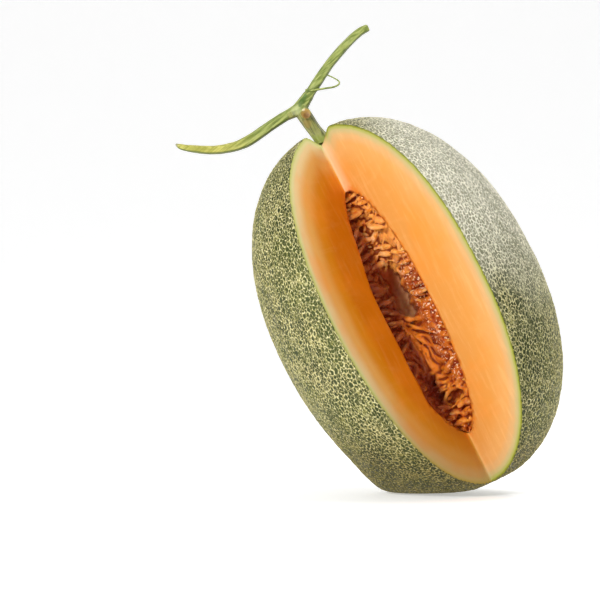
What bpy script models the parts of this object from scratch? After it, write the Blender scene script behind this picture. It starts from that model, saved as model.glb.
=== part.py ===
"""A netted muskmelon with one wedge cut out, standing tilted on its flattened spot.

Three pieces: the fruit (rind and flesh grown as one, with its raised net), the pulp with its seeds
in the cavity, and the stem with its cut length of vine. Metres, +Z up. The origin is the centre of
the flat spot, on the floor. The fruit's own frame has its axis along Z, the stem end up and the
missing wedge towards -Y.
"""

import math
import random

import bmesh
import bpy
from mathutils import Matrix, Vector

# The fruit's outline
HALF_LENGTH = 0.107
RADIUS = 0.074
BLUNTNESS = 2.18  # exponent of the outline; 2 would be an ellipse
BASIN_DEPTH = 0.0082  # the hollow that the stem stands in, with a flat bottom
BASIN_FLAT_RADIUS = 0.0060
BASIN_RADIUS = 0.019
SCAR_DEPTH = 0.0015  # the dip at the blossom end
SCAR_RADIUS = 0.009

# How it stands
TILT = math.radians(26.8)  # of the stem end towards -X
LEAN = math.radians(6.5)  # of the stem end towards +Y
CENTRE = Vector((-0.0092, -0.0003, 0.1020))  # the fruit's middle, from the flat spot's centre
SAG = 0.010  # how far the skin has sunk where most of the weight bears down
SAG_RADIUS = 0.022
SAG_PLACE = Vector((-0.006, 0.008))  # from the fruit's middle, seen from above
SAG_HEIGHTS = (0.030, 0.060)  # skin between these heights sinks less and less

# The raised net, coarser than the real one
NET_CELLS = 500
NET_HEIGHT = 0.0015
NET_HALF_WIDTH = 0.0015
NET_START = (0.007, 0.014)  # the net rises between these distances from the axis, at the stem end
NET_SHIFT = 0.5  # how far cells stray from even places, in cell widths
NET_SEED = 11

# The missing wedge
KNIFE_LINE = Vector((-0.0022, -0.0065, 0.0))  # where the two cuts meet, parallel to the axis
CUT_RIGHT = math.radians(37.6)  # from -Y, towards +X
CUT_LEFT = math.radians(36.1)  # from -Y, towards -X
KNIFE_REACH = 0.2

# The seed cavity and what fills it
CAVITY_CENTRE = Vector((0.004, -0.002, -0.0025))
CAVITY_RADIUS = 0.025
CAVITY_HALF_LENGTH = 0.076
CAVITY_SIDES = 24
CAVITY_RINGS = 20
PULP_GAP = 0.0005
PULP_SPARE = 0.002  # how much too large the pulp is before it is trimmed to fit
PULP_BEHIND_CUT = 0.0015
HOLLOW_X = -0.0005  # the hollow along the middle of the pulp
HOLLOW_HALF_WIDTH = 0.0055
HOLLOW_DEPTH = 0.017
HOLLOWS = ((0.004, 0.019), (-0.047, 0.012))  # place and half length along the axis
PULP_GRID = 0.0044
PULP_FOLD = 0.0011

# Seeds, larger and fewer than the real ones
SEED_COUNT = 105
SEED_LENGTH = 0.0105
SEED_OUTLINE = ((-0.5, 0.0), (-0.3, 0.2), (0.1, 0.27), (0.42, 0.13), (0.5, 0.0), (0.42, -0.13), (0.1, -0.27), (-0.3, -0.2))
SEED_THICKNESS = 0.0032
SEED_DRAW = 5

# Threads of pulp that bridge the hollow: height along the axis at each end
THREADS = ((-0.018, -0.024), (-0.022, -0.020), (-0.026, -0.029), (-0.030, -0.038), (-0.033, -0.046), (-0.062, -0.056))
THREAD_RADIUS = 0.0010
THREAD_SIDES = 5

# Stem and vine, by the middle of each stretch, from the fruit's middle and in the world's directions
FOOT_GAP = 0.0004  # between the stem's foot and the bottom of the basin
FOOT_RISE = 0.003
STALK_ROUTE = ((-0.0506, 0.0108, 0.0963), (-0.0562, 0.0112, 0.1043), (-0.0590, 0.0112, 0.1085))
STALK_RADII = (0.0047, 0.0044, 0.0038, 0.0042, 0.0040)
VINE_ROUTE = (
    (-0.1259, 0.0035, 0.0880),
    (-0.1224, 0.0040, 0.0865),
    (-0.1158, 0.0048, 0.0856),
    (-0.1085, 0.0057, 0.0850),
    (-0.1013, 0.0066, 0.0855),
    (-0.0940, 0.0075, 0.0870),
    (-0.0867, 0.0084, 0.0901),
    (-0.0794, 0.0092, 0.0951),
    (-0.0721, 0.0099, 0.1002),
    (-0.0663, 0.0105, 0.1038),
    (-0.0612, 0.0110, 0.1065),
    (-0.0575, 0.0114, 0.1098),
    (-0.0546, 0.0117, 0.1142),
    (-0.0527, 0.0119, 0.1171),
    (-0.0479, 0.0124, 0.1244),
    (-0.0430, 0.0131, 0.1317),
    (-0.0373, 0.0140, 0.1389),
    (-0.0306, 0.0152, 0.1462),
    (-0.0255, 0.0162, 0.1506),
    (-0.0214, 0.0170, 0.1528),
)
VINE_RADII = (
    0.0008, 0.0017, 0.0021, 0.0024, 0.0025, 0.0027, 0.0030, 0.0029, 0.0029, 0.0028,
    0.0032, 0.0036, 0.0031, 0.0027, 0.0028, 0.0026, 0.0026, 0.0024, 0.0023, 0.0021,
)
VINE_SIDES = 10
VINE_RIDGE = 0.07  # how far the five ridges stand out, as a share of the radius
STUB_ROUTE = ((-0.0557, 0.0110, 0.1052), (-0.0554, 0.0060, 0.1050), (-0.0552, 0.0042, 0.1049))
STUB_RADII = (0.0031, 0.0028, 0.0031)
TENDRIL_ROUTE = (
    (-0.0552, 0.0110, 0.1180),
    (-0.0522, 0.0086, 0.1177),
    (-0.0455, 0.0076, 0.1187),
    (-0.0400, 0.0076, 0.1196),
    (-0.0372, 0.0082, 0.1212),
    (-0.0375, 0.0092, 0.1230),
    (-0.0408, 0.0108, 0.1251),
    (-0.0446, 0.0122, 0.1268),
    (-0.0470, 0.0130, 0.1276),
)
TENDRIL_RADIUS = 0.0006
TENDRIL_SIDES = 6
ROUTE_STEPS = 2  # rings to each stretch of the stalk and the tendril

RIND = ("rind", (0.53, 0.57, 0.34), 0.6)
FLESH = ("flesh", (1.0, 0.55, 0.17), 0.35)
PULP = ("pulp", (0.75, 0.24, 0.03), 0.2)
STEM = ("stem", (0.42, 0.52, 0.16), 0.5)


def standing():
    """The matrix from the fruit's own frame to the world."""
    turn = Matrix.Rotation(-LEAN, 4, "X") @ Matrix.Rotation(-TILT, 4, "Y")
    return Matrix.Translation(CENTRE) @ turn


def ramp(start, end, value):
    """0 at start and 1 at end, smoothly."""
    share = min(max((value - start) / (end - start), 0.0), 1.0)
    return share * share * (3 - 2 * share)


def material(name, colour, roughness):
    made = bpy.data.materials.new(name)
    made.use_nodes = True
    shader = made.node_tree.nodes["Principled BSDF"]
    shader.inputs["Base Color"].default_value = (*colour, 1)
    shader.inputs["Roughness"].default_value = roughness
    return made


def link(name, bm, *materials):
    """An object made from a bmesh, with its triangles facing out."""
    bmesh.ops.recalc_face_normals(bm, faces=bm.faces)
    mesh = bpy.data.meshes.new(name)
    bm.to_mesh(mesh)
    bm.free()
    for made in materials:
        mesh.materials.append(made)
    mesh.shade_smooth()
    mesh.set_sharp_from_angle(angle=math.radians(40))
    obj = bpy.data.objects.new(name, mesh)
    bpy.context.scene.collection.objects.link(obj)
    return obj


def hidden(cutter):
    cutter.hide_render = True
    cutter.display_type = "WIRE"
    return cutter


def cut(obj, cutter, operation="DIFFERENCE", solver="EXACT"):
    """Cuts a hidden shape from an object, or all that is outside the shape for INTERSECT.

    The cut faces get the shape's material.
    """
    modifier = obj.modifiers.new("cut_" + cutter.name, "BOOLEAN")
    modifier.operation = operation
    modifier.solver = solver
    modifier.object = cutter
    modifier.material_mode = "TRANSFER"


def apply_modifiers(obj):
    """Replaces the object's mesh by what its modifiers make of it."""
    graph = bpy.context.evaluated_depsgraph_get()
    made = bpy.data.meshes.new_from_object(obj.evaluated_get(graph))
    obj.modifiers.clear()
    obj.data = made


def keep_largest_shell(obj):
    """Removes the small sealed pockets that a union leaves between its pieces."""
    bm = bmesh.new()
    bm.from_mesh(obj.data)
    shells, seen = [], set()
    for start in bm.verts:
        if start in seen:
            continue
        shell, waiting = [], [start]
        seen.add(start)
        while waiting:
            vert = waiting.pop()
            shell.append(vert)
            for edge in vert.link_edges:
                other = edge.other_vert(vert)
                if other not in seen:
                    seen.add(other)
                    waiting.append(other)
        shells.append(shell)
    shells.sort(key=len)
    for shell in shells[:-1]:
        bmesh.ops.delete(bm, geom=shell, context="VERTS")
    bm.to_mesh(obj.data)
    bm.free()


def join_all(obj, others):
    """Joins the other objects into this one by a Boolean union, and removes them."""
    repeats = bpy.data.collections.new(obj.name + "_repeats")
    bpy.context.scene.collection.children.link(repeats)
    for other in others:
        bpy.context.scene.collection.objects.unlink(other)
        repeats.objects.link(other)
    modifier = obj.modifiers.new("join", "BOOLEAN")
    modifier.operation = "UNION"
    modifier.operand_type = "COLLECTION"
    modifier.collection = repeats
    modifier.solver = "MANIFOLD"
    apply_modifiers(obj)
    for other in others:
        bpy.data.objects.remove(other)
    bpy.data.collections.remove(repeats)
    keep_largest_shell(obj)


def outward(point):
    """The direction straight out of the fruit's skin at a point."""
    across = RADIUS**2
    return Vector((point.x / across, point.y / across, point.z / HALF_LENGTH**2)).normalized()


def skin(direction, height):
    """The point of the fruit's skin in a direction on the unit sphere, raised by a height."""
    across = math.hypot(direction.x, direction.y)
    swell = (across**BLUNTNESS + abs(direction.z) ** BLUNTNESS) ** (-1 / BLUNTNESS)
    point = Vector((direction.x * RADIUS, direction.y * RADIUS, direction.z * HALF_LENGTH)) * swell
    from_axis = math.hypot(point.x, point.y)
    if point.z < 0:
        point += outward(point) * height
        point.z += SCAR_DEPTH * math.exp(-((from_axis / SCAR_RADIUS) ** 2))
        return point
    point += outward(point) * height * ramp(*NET_START, from_axis)
    in_basin = ramp(BASIN_RADIUS, BASIN_FLAT_RADIUS, from_axis)
    point.z += (HALF_LENGTH - BASIN_DEPTH - point.z) * in_basin
    return point


def settled(point):
    """A point of the skin once the fruit has sunk a little under its own weight."""
    low, high = SAG_HEIGHTS
    away = (point.xy - CENTRE.xy - SAG_PLACE).length
    sunk = SAG * math.exp(-((away / SAG_RADIUS) ** 2)) * ramp(high, low, point.z)
    return Vector((point.x, point.y, point.z - sunk))


def spread_directions(count, shift, seed):
    """Directions spread over the unit sphere on a spiral, each strayed a little."""
    draw = random.Random(seed)
    golden_turn = math.pi * (3 - math.sqrt(5))
    stray = shift * math.sqrt(4 * math.pi / count)
    found = []
    for index in range(count):
        height = 1 - (2 * index + 1) / count
        across = math.sqrt(1 - height * height)
        turn = golden_turn * index
        even = Vector((across * math.cos(turn), across * math.sin(turn), height))
        moved = even + Vector([draw.uniform(-stray, stray) for _ in range(3)])
        found.append(moved.normalized())
    found[0] = Vector((0, 0, 1))  # one cell is round the stem
    return found


def net_cells():
    """The net's cells on the unit sphere: each is its middle and its corners in order."""
    hull = bmesh.new()
    for direction in spread_directions(NET_CELLS, NET_SHIFT, NET_SEED):
        hull.verts.new(direction)
    bmesh.ops.convex_hull(hull, input=hull.verts)
    hull.faces.ensure_lookup_table()
    hull.faces.index_update()
    corners = [face.calc_center_median().normalized() for face in hull.faces]
    cells = []
    for vert in hull.verts:
        first = vert.link_loops[0]
        loop, ring = first, []
        while True:
            ring.append(loop.face.index)
            loop = loop.link_loop_prev.link_loop_radial_next
            if loop is first:
                break
        cells.append((vert.co.normalized(), ring))
    hull.free()
    return corners, cells


def netted_skin():
    """The closed skin of the whole fruit, with the net's threads standing out between its cells."""
    corners, cells = net_cells()
    bm = bmesh.new()
    crests = [bm.verts.new(skin(corner, NET_HEIGHT)) for corner in corners]
    for middle, ring in cells:
        floor = []
        for index in ring:
            reach = (skin(corners[index], 0) - skin(middle, 0)).length
            share = min(NET_HALF_WIDTH / reach, 0.5)
            floor.append(bm.verts.new(skin(corners[index].lerp(middle, share).normalized(), 0)))
        bm.faces.new(floor)
        for here in range(len(ring)):
            there = (here + 1) % len(ring)
            bm.faces.new((crests[ring[here]], crests[ring[there]], floor[there], floor[here]))
    return bm


def trim_at_floor(bm):
    """Cuts off what lies under the floor and closes the flat spot with one face."""
    everything = [*bm.verts, *bm.edges, *bm.faces]
    done = bmesh.ops.bisect_plane(
        bm, geom=everything, plane_co=(0, 0, 0), plane_no=(0, 0, -1), clear_outer=True
    )
    rim = [item for item in done["geom_cut"] if isinstance(item, bmesh.types.BMEdge)]
    bmesh.ops.contextual_create(bm, geom=rim)


def knife():
    """The wedge that was cut out, as a prism whose edge is where the two cuts meet."""
    bm = bmesh.new()
    right = KNIFE_LINE + Vector((math.sin(CUT_RIGHT), -math.cos(CUT_RIGHT), 0)) * KNIFE_REACH
    left = KNIFE_LINE + Vector((-math.sin(CUT_LEFT), -math.cos(CUT_LEFT), 0)) * KNIFE_REACH
    base = [bm.verts.new(p - Vector((0, 0, KNIFE_REACH))) for p in (KNIFE_LINE, left, right)]
    made = bmesh.ops.extrude_face_region(bm, geom=[bm.faces.new(base)])["geom"]
    raised = [item for item in made if isinstance(item, bmesh.types.BMVert)]
    bmesh.ops.translate(bm, verts=raised, vec=(0, 0, 2 * KNIFE_REACH))
    return bm


def cavity(inset):
    """The seed cavity, drawn in by an inset."""
    bm = bmesh.new()
    bmesh.ops.create_uvsphere(bm, u_segments=CAVITY_SIDES, v_segments=CAVITY_RINGS, radius=1)
    across = CAVITY_RADIUS - inset
    size = Matrix.Diagonal((across, across, CAVITY_HALF_LENGTH - inset, 1))
    bmesh.ops.transform(bm, matrix=Matrix.Translation(CAVITY_CENTRE) @ size, verts=bm.verts)
    return bm


def make_fruit(rind, flesh):
    bm = netted_skin()
    bmesh.ops.transform(bm, matrix=standing(), verts=bm.verts)
    for vert in bm.verts:
        vert.co = settled(vert.co)
    bmesh.ops.triangulate(bm, faces=bm.faces)
    trim_at_floor(bm)
    fruit = link("melon_fruit", bm, rind, flesh)
    keep_largest_shell(fruit)
    for name, shape in (("wedge", knife()), ("cavity", cavity(0))):
        bmesh.ops.transform(shape, matrix=standing(), verts=shape.verts)
        cut(fruit, hidden(link(name, shape, flesh)))
    return fruit


def hollow_share(x, z):
    """How much of the full hollow is there, from 0 to 1, at a place across and along the pulp."""
    across = math.exp(-(((x - HOLLOW_X) / HOLLOW_HALF_WIDTH) ** 4))
    along = max(math.exp(-(((z - place) / half) ** 4)) for place, half in HOLLOWS)
    return across * along


def pulp_face(x, z):
    """The y of the pulp's open face: a little behind the two cuts, folded, and deep in the hollow."""
    past = x - KNIFE_LINE.x
    slope = 1 / math.tan(CUT_RIGHT) if past > 0 else -1 / math.tan(CUT_LEFT)
    folds = math.sin(x * 620 + 2.1 * math.sin(z * 190)) * math.sin(z * 430 + 1.7 * math.sin(x * 330))
    y = KNIFE_LINE.y - past * slope + PULP_BEHIND_CUT + PULP_FOLD * folds
    return y + HOLLOW_DEPTH * hollow_share(x, z)


def trough():
    """The space in front of the pulp's open face, as a closed block with that face as its back."""
    columns = round(2 * CAVITY_RADIUS * 1.2 / PULP_GRID)
    rows = round(2 * CAVITY_HALF_LENGTH * 1.1 / PULP_GRID)
    bm = bmesh.new()
    face = []
    for row in range(rows + 1):
        z = CAVITY_CENTRE.z + (row - rows / 2) * PULP_GRID
        for column in range(columns + 1):
            x = CAVITY_CENTRE.x + (column - columns / 2) * PULP_GRID
            face.append(bm.verts.new((x, pulp_face(x, z), z)))
    for row in range(rows):
        for column in range(columns):
            at = row * (columns + 1) + column
            bm.faces.new((face[at], face[at + 1], face[at + columns + 2], face[at + columns + 1]))
    made = bmesh.ops.extrude_face_region(bm, geom=list(bm.faces))["geom"]
    for item in made:
        if isinstance(item, bmesh.types.BMVert):
            item.co.y = CAVITY_CENTRE.y - 2 * CAVITY_RADIUS
    return bm


def face_normal(x, z):
    """The direction out of the pulp's open face."""
    step = PULP_GRID / 2
    along_x = Vector((2 * step, pulp_face(x + step, z) - pulp_face(x - step, z), 0))
    along_z = Vector((0, pulp_face(x, z + step) - pulp_face(x, z - step), 2 * step))
    return along_x.cross(along_z).normalized()


def seed_shape():
    """One seed lying along X, flat along Z: a drop-shaped outline between two low peaks."""
    bm = bmesh.new()
    rim = [bm.verts.new((x * SEED_LENGTH, y * SEED_LENGTH, 0)) for x, y in SEED_OUTLINE]
    for height in (SEED_THICKNESS / 2, -SEED_THICKNESS / 2):
        peak = bm.verts.new((0.05 * SEED_LENGTH, 0, height))
        for index, vert in enumerate(rim):
            bm.faces.new((vert, rim[(index + 1) % len(rim)], peak))
    return bm


def seed_places():
    """Matrices of the seeds: in uneven rows on the pulp's face, most of them edge on."""
    draw = random.Random(SEED_DRAW)
    places = []
    for index in range(SEED_COUNT):
        z = CAVITY_CENTRE.z + CAVITY_HALF_LENGTH * 0.93 * (2 * (index + 0.5) / SEED_COUNT - 1)
        room = math.sqrt(1 - ((z - CAVITY_CENTRE.z) / CAVITY_HALF_LENGTH) ** 2)
        right = (index % 5) != 0 and index % 2 == 0
        side = 1 if right else -1
        reach = (0.0125 if right else 0.0095) * room * draw.uniform(0.45, 1.1)
        x = KNIFE_LINE.x + 0.001 + side * reach
        out = face_normal(x, z)
        inward = Vector((-side, 0.35, draw.uniform(-0.5, 0.5)))
        along = (inward - out * inward.dot(out) * 0.6).normalized()
        flat = (Vector((0, 0, 1)) + out * draw.uniform(-0.2, 0.9)).normalized()
        across = flat.cross(along).normalized()
        flat = along.cross(across)
        centre = Vector((x, pulp_face(x, z), z)) + out * 0.0002
        axes = Matrix((along, across, flat)).transposed().to_4x4()
        places.append(Matrix.Translation(centre) @ axes)
    return places


def smooth_route(points, steps):
    """Points on a smooth curve through a route's points, with so many steps between each two."""
    points = [Vector(p) for p in points]
    found = []
    for index in range(len(points) - 1):
        before = points[max(index - 1, 0)]
        here, there = points[index], points[index + 1]
        after = points[min(index + 2, len(points) - 1)]
        for step in range(steps):
            t = step / steps
            pull = (there - before) * t + (2 * before - 5 * here + 4 * there - after) * t * t
            pull += (3 * here - before - 3 * there + after) * t * t * t
            found.append(here + pull * 0.5)
    return [*found, points[-1]]


def tube(route, radii, sides, ridge):
    """A closed tube along a route, its radius given at each point, with five ridges if ridge isn't 0."""
    bm = bmesh.new()
    loops = []
    side_way = Vector((0, 1, 0))
    for index, point in enumerate(route):
        ahead = (route[min(index + 1, len(route) - 1)] - route[max(index - 1, 0)]).normalized()
        side_way = (side_way - ahead * side_way.dot(ahead)).normalized()
        up = ahead.cross(side_way)
        loop = []
        for side in range(sides):
            turn = 2 * math.pi * side / sides
            radius = radii[index] * (1 + ridge * math.cos(5 * turn))
            way = side_way * math.cos(turn) + up * math.sin(turn)
            loop.append(bm.verts.new(point + way * radius))
        loops.append(loop)
    for near, far in zip(loops, loops[1:]):
        for side in range(sides):
            after = (side + 1) % sides
            bm.faces.new((near[side], near[after], far[after], far[side]))
    bm.faces.new(loops[0])
    bm.faces.new(loops[-1])
    bmesh.ops.triangulate(bm, faces=bm.faces)
    return bm


def smooth_radii(radii, steps):
    """Radii at the points that smooth_route makes."""
    found = []
    for here, there in zip(radii, radii[1:]):
        found += [here + (there - here) * step / steps for step in range(steps)]
    return [*found, radii[-1]]


def thread(start_z, end_z, draw):
    """One thread of pulp, from the left side of the hollow to its right side."""
    left_x = HOLLOW_X - HOLLOW_HALF_WIDTH * 1.35
    right_x = HOLLOW_X + HOLLOW_HALF_WIDTH * draw.uniform(1.5, 2.1)
    start = Vector((left_x, pulp_face(left_x, start_z) + THREAD_RADIUS, start_z))
    end = Vector((right_x, pulp_face(right_x, end_z) + THREAD_RADIUS, end_z))
    middle = (start + end) / 2 + Vector((0, draw.uniform(0.0005, 0.003), draw.uniform(-0.002, 0.002)))
    route = smooth_route((start, middle, end), 3)
    return tube(route, [THREAD_RADIUS] * len(route), THREAD_SIDES, 0)


def make_pulp(pulp):
    """The pulp that lines the cavity, open towards the cut, with the seeds and threads grown into it."""
    body = link("seed_pulp", cavity(-PULP_SPARE), pulp)
    front = hidden(link("trough", trough(), pulp))
    cut(body, front)
    apply_modifiers(body)
    bpy.data.objects.remove(front)
    seed = seed_shape()
    repeats = []
    for index, place in enumerate(seed_places()):
        copy = seed.copy()
        bmesh.ops.transform(copy, matrix=place, verts=copy.verts)
        repeats.append(link(f"seed_{index}", copy, pulp))
    seed.free()
    draw = random.Random(SEED_DRAW)
    for index, (start_z, end_z) in enumerate(THREADS):
        repeats.append(link(f"thread_{index}", thread(start_z, end_z, draw), pulp))
    join_all(body, repeats)
    lining = hidden(link("lining", cavity(PULP_GAP), pulp))
    cut(body, lining, "INTERSECT", "MANIFOLD")
    apply_modifiers(body)
    bpy.data.objects.remove(lining)
    keep_largest_shell(body)
    body.matrix_world = standing()
    return body


def placed(route):
    """A route's points, moved from the fruit's middle to the world."""
    return [CENTRE + Vector(point) for point in route]


def stalk_route():
    """The stalk's route, from its foot in the basin to the vine."""
    foot = HALF_LENGTH - BASIN_DEPTH + FOOT_GAP
    start = [standing() @ Vector((0, 0, foot + rise)) for rise in (0, FOOT_RISE)]
    return smooth_route((*start, *placed(STALK_ROUTE)), ROUTE_STEPS)


def make_stem(stem):
    """The vine with the fruit's stalk, a leaf's stub and a tendril grown out of it."""
    vine = link("vine_stem", tube(placed(VINE_ROUTE), VINE_RADII, VINE_SIDES, VINE_RIDGE), stem)
    stalk = tube(stalk_route(), smooth_radii(STALK_RADII, ROUTE_STEPS), VINE_SIDES, VINE_RIDGE)
    stub = tube(placed(STUB_ROUTE), STUB_RADII, VINE_SIDES, 0)
    curl = smooth_route(placed(TENDRIL_ROUTE), ROUTE_STEPS)
    tendril = tube(curl, [TENDRIL_RADIUS] * len(curl), TENDRIL_SIDES, 0)
    shoots = (("stalk", stalk), ("stub", stub), ("tendril", tendril))
    join_all(vine, [link(name, shape, stem) for name, shape in shoots])
    return vine


def main():
    for obj in list(bpy.data.objects):
        bpy.data.objects.remove(obj)
    rind, flesh, pulp, stem = (material(*look) for look in (RIND, FLESH, PULP, STEM))
    make_fruit(rind, flesh)
    make_pulp(pulp)
    make_stem(stem)


main()
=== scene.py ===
"""The looks of a netted muskmelon with one wedge cut out, standing tilted on its flattened spot.

Four pieces: the fruit with its fine net and cut flesh, the pulp, the seeds, and the stem. The fruit's
own frame has its axis along Z, the stem end up and the missing wedge towards -Y, as in the CAD. Lengths
are in metres, and colours are linear red, green and blue.
"""

import math

import bmesh
import bpy
import numpy as np
from mathutils import Matrix, Vector, noise
from mathutils.bvhtree import BVHTree


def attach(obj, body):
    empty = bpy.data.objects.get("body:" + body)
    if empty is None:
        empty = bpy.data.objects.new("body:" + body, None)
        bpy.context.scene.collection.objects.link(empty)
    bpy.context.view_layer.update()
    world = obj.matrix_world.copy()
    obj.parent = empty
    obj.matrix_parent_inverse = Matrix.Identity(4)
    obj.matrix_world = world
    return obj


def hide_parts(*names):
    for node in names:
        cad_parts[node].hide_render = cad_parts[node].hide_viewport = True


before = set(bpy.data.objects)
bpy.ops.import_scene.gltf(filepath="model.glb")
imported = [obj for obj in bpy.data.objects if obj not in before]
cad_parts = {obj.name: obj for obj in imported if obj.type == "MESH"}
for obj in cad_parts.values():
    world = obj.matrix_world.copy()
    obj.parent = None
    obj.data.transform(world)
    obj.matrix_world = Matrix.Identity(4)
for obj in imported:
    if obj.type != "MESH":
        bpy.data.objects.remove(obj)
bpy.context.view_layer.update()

# These repeat the sizes of the CAD's source
HALF_LENGTH = 0.107
RADIUS = 0.074
BLUNTNESS = 2.18
BASIN_DEPTH = 0.0082
BASIN_FLAT_RADIUS = 0.0060
BASIN_RADIUS = 0.019
SCAR_DEPTH = 0.0015
SCAR_RADIUS = 0.009
TILT = math.radians(26.8)
LEAN = math.radians(6.5)
CENTRE = Vector((-0.0092, -0.0003, 0.1020))
SAG = 0.010
SAG_RADIUS = 0.022
SAG_PLACE = Vector((-0.006, 0.008))
SAG_HEIGHTS = (0.030, 0.060)
KNIFE_LINE = Vector((-0.0022, -0.0065, 0.0))
CUT_RIGHT = math.radians(37.6)
CUT_LEFT = math.radians(36.1)
CAVITY_CENTRE = Vector((0.004, -0.002, -0.0025))
CAVITY_RADIUS = 0.025
CAVITY_HALF_LENGTH = 0.076
FOOT_GAP = 0.0004
FOOT_RISE = 0.003

# The edge of the flat spot: skin near the floor bends over the rounding, and comes down by the rest
SAG_ROUNDING = 0.0050
SAG_REST = 0.0010
SAG_REST_FADE = 0.008
FLOOR_GAP = 0.0002

# The cavity is wider towards one side: how much, and from and to which height that comes in
BULGE_TURN = 230  # degrees round the axis
BULGE_SPREAD = 28
BULGE_STEPS = ((0.16, 0.040, 0.010), (0.14, -0.015, -0.042), (0.24, -0.040, -0.056))

# The net at its true size
NET_CELLS = 24000
NET_SQUASH = 0.62  # a cell's width as a share of its length along the axis
NET_SHIFT = 0.62  # how far cells stray from even places, in cell widths
NET_LEFT_OUT = 0.07  # the share of cells left out, which makes their neighbours larger
NET_HEIGHT = 0.00055
NET_UNEVEN = (0.4, 0.3)  # how much the height varies by patches and from point to point
NET_PIT_PLACE = 0.7  # where a cell's pit lies, from its middle at 0 to the mean of its corners at 1
NET_START = (0.005, 0.014)  # the net rises between these distances from the axis, at the stem end
NET_SEED = 23

# The two cut faces: how far the knife reaches, the spacing of their points and how deep their waves are
KNIFE_REACH = 0.100
KNIFE_HALF_HEIGHT = 0.125
CUT_GRID = 0.0022
CUT_WAVES = ((28, 16, 7, 0.0005), (120, 60, 9, 0.00012))  # across, along, per radian, depth

# What fills the cavity, in the fruit's own frame
PULP_GAP = 0.0005
PULP_SPARE = 0.002  # how much too large the pulp is before it is trimmed to fit
PULP_BEHIND_CUT = 0.0055
PULP_RISE_RIGHT = 0.0036  # how much nearer to the cut the pulp lies along its right edge
PULP_RISE_FAN = 0.0012
PULP_FOLD = 0.0026
PULP_BEND = 0.003  # how softly the pulp's face bends at the knife line
PULP_GRID = 0.0008
PULP_VOXEL = 0.00055
CREASE_ROUNDS = 12
HOLLOWS = (  # places across and along, half width, half length and depth
    (-0.0010, 0.0070, 0.0042, 0.0152, 0.013),
    (-0.0078, -0.0470, 0.0034, 0.0090, 0.005),
    (0.0018, -0.0560, 0.0042, 0.0030, 0.004),
)
HOLLOW_DEPTH = 0.013

# The fan of strands below the deep hollow: where it starts, its angles, its reach and its right edge
FAN_ROOT = (-0.0080, -0.0085)
FAN_ANGLES = (math.radians(-88), math.radians(10))
FAN_REACH = 0.034
FAN_EDGE = 0.0085

# Seeds and wisps: how far right and left of the knife line they reach
REACH_RIGHT = 0.0165
REACH_LEFT = 0.0145
RIGHT_SHARE = 0.6
SEED_TRIES = 2600
SEED_LENGTH = 0.0098
SEED_HALF_WIDTH = 0.26  # as a share of the length
SEED_HALF_THICKNESS = 0.140
SEED_SPACING = 0.0043
SEED_STANDS_OUT = 0.0016  # the most that a seed may stand out of the cuts
SEED_COAT = (0.0050, 0.0029, 0.0018)
SEED_DRAW = 7
WISP_COUNT = 110

# Single strands, by places across and along, the radius, and how far the middle stands out
STRANDS = (
    ((-0.0075, -0.0085), (-0.0045, -0.0160), (0.0010, -0.0240), (0.0060, -0.0300), 0.0009, 0.0035),
    ((-0.0078, -0.0100), (-0.0055, -0.0190), (-0.0010, -0.0290), (0.0030, -0.0370), 0.0010, 0.0030),
    ((-0.0082, -0.0120), (-0.0065, -0.0220), (-0.0030, -0.0330), (-0.0005, -0.0410), 0.0008, 0.0024),
    ((-0.0070, -0.0070), (-0.0020, -0.0120), (0.0040, -0.0180), (0.0095, -0.0230), 0.0008, 0.0032),
    ((-0.0060, -0.0055), (-0.0005, -0.0080), (0.0050, -0.0105), (0.0105, -0.0120), 0.0010, 0.0028),
    ((-0.0030, 0.0255), (-0.0012, 0.0320), (0.0000, 0.0390), (0.0002, 0.0470), 0.0016, 0.0020),
    ((0.0000, 0.0250), (0.0006, 0.0310), (0.0010, 0.0370), (0.0008, 0.0440), 0.0013, 0.0016),
    ((-0.0060, 0.0220), (-0.0066, 0.0120), (-0.0064, 0.0030), (-0.0070, -0.0060), 0.0010, 0.0012),
    ((0.0045, 0.0200), (0.0056, 0.0120), (0.0062, 0.0040), (0.0060, -0.0040), 0.0011, 0.0012),
    ((-0.0060, -0.0560), (-0.0010, -0.0520), (0.0040, -0.0520), (0.0080, -0.0560), 0.0009, 0.0030),
    ((-0.0050, -0.0440), (0.0000, -0.0470), (0.0045, -0.0500), (0.0090, -0.0510), 0.0008, 0.0026),
    ((-0.0030, -0.0620), (0.0010, -0.0590), (0.0050, -0.0600), (0.0070, -0.0640), 0.0008, 0.0018),
)

# Stem and vine: the middle of each stretch, from the fruit's middle and in the world's directions
STALK_ROUTE = ((-0.0506, 0.0108, 0.0963), (-0.0562, 0.0112, 0.1043), (-0.0590, 0.0112, 0.1085))
STALK_RADII = (0.0045, 0.0042, 0.0037, 0.0040, 0.0038)
VINE_ROUTE = (
    (-0.1259, 0.0035, 0.0880), (-0.1224, 0.0040, 0.0865), (-0.1158, 0.0048, 0.0856),
    (-0.1085, 0.0057, 0.0850), (-0.1013, 0.0066, 0.0855), (-0.0940, 0.0075, 0.0870),
    (-0.0867, 0.0084, 0.0901), (-0.0794, 0.0092, 0.0951), (-0.0721, 0.0099, 0.1002),
    (-0.0663, 0.0105, 0.1038), (-0.0612, 0.0110, 0.1065), (-0.0575, 0.0114, 0.1098),
    (-0.0546, 0.0117, 0.1142), (-0.0527, 0.0119, 0.1171), (-0.0479, 0.0124, 0.1244),
    (-0.0430, 0.0131, 0.1317), (-0.0373, 0.0140, 0.1389), (-0.0306, 0.0152, 0.1462),
    (-0.0255, 0.0162, 0.1506), (-0.0214, 0.0170, 0.1528),
)
VINE_RADII = (
    0.0007, 0.0016, 0.0020, 0.0023, 0.0024, 0.0026, 0.0029, 0.0028, 0.0028, 0.0027,
    0.0031, 0.0035, 0.0030, 0.0026, 0.0027, 0.0025, 0.0025, 0.0023, 0.0022, 0.0020,
)
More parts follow.
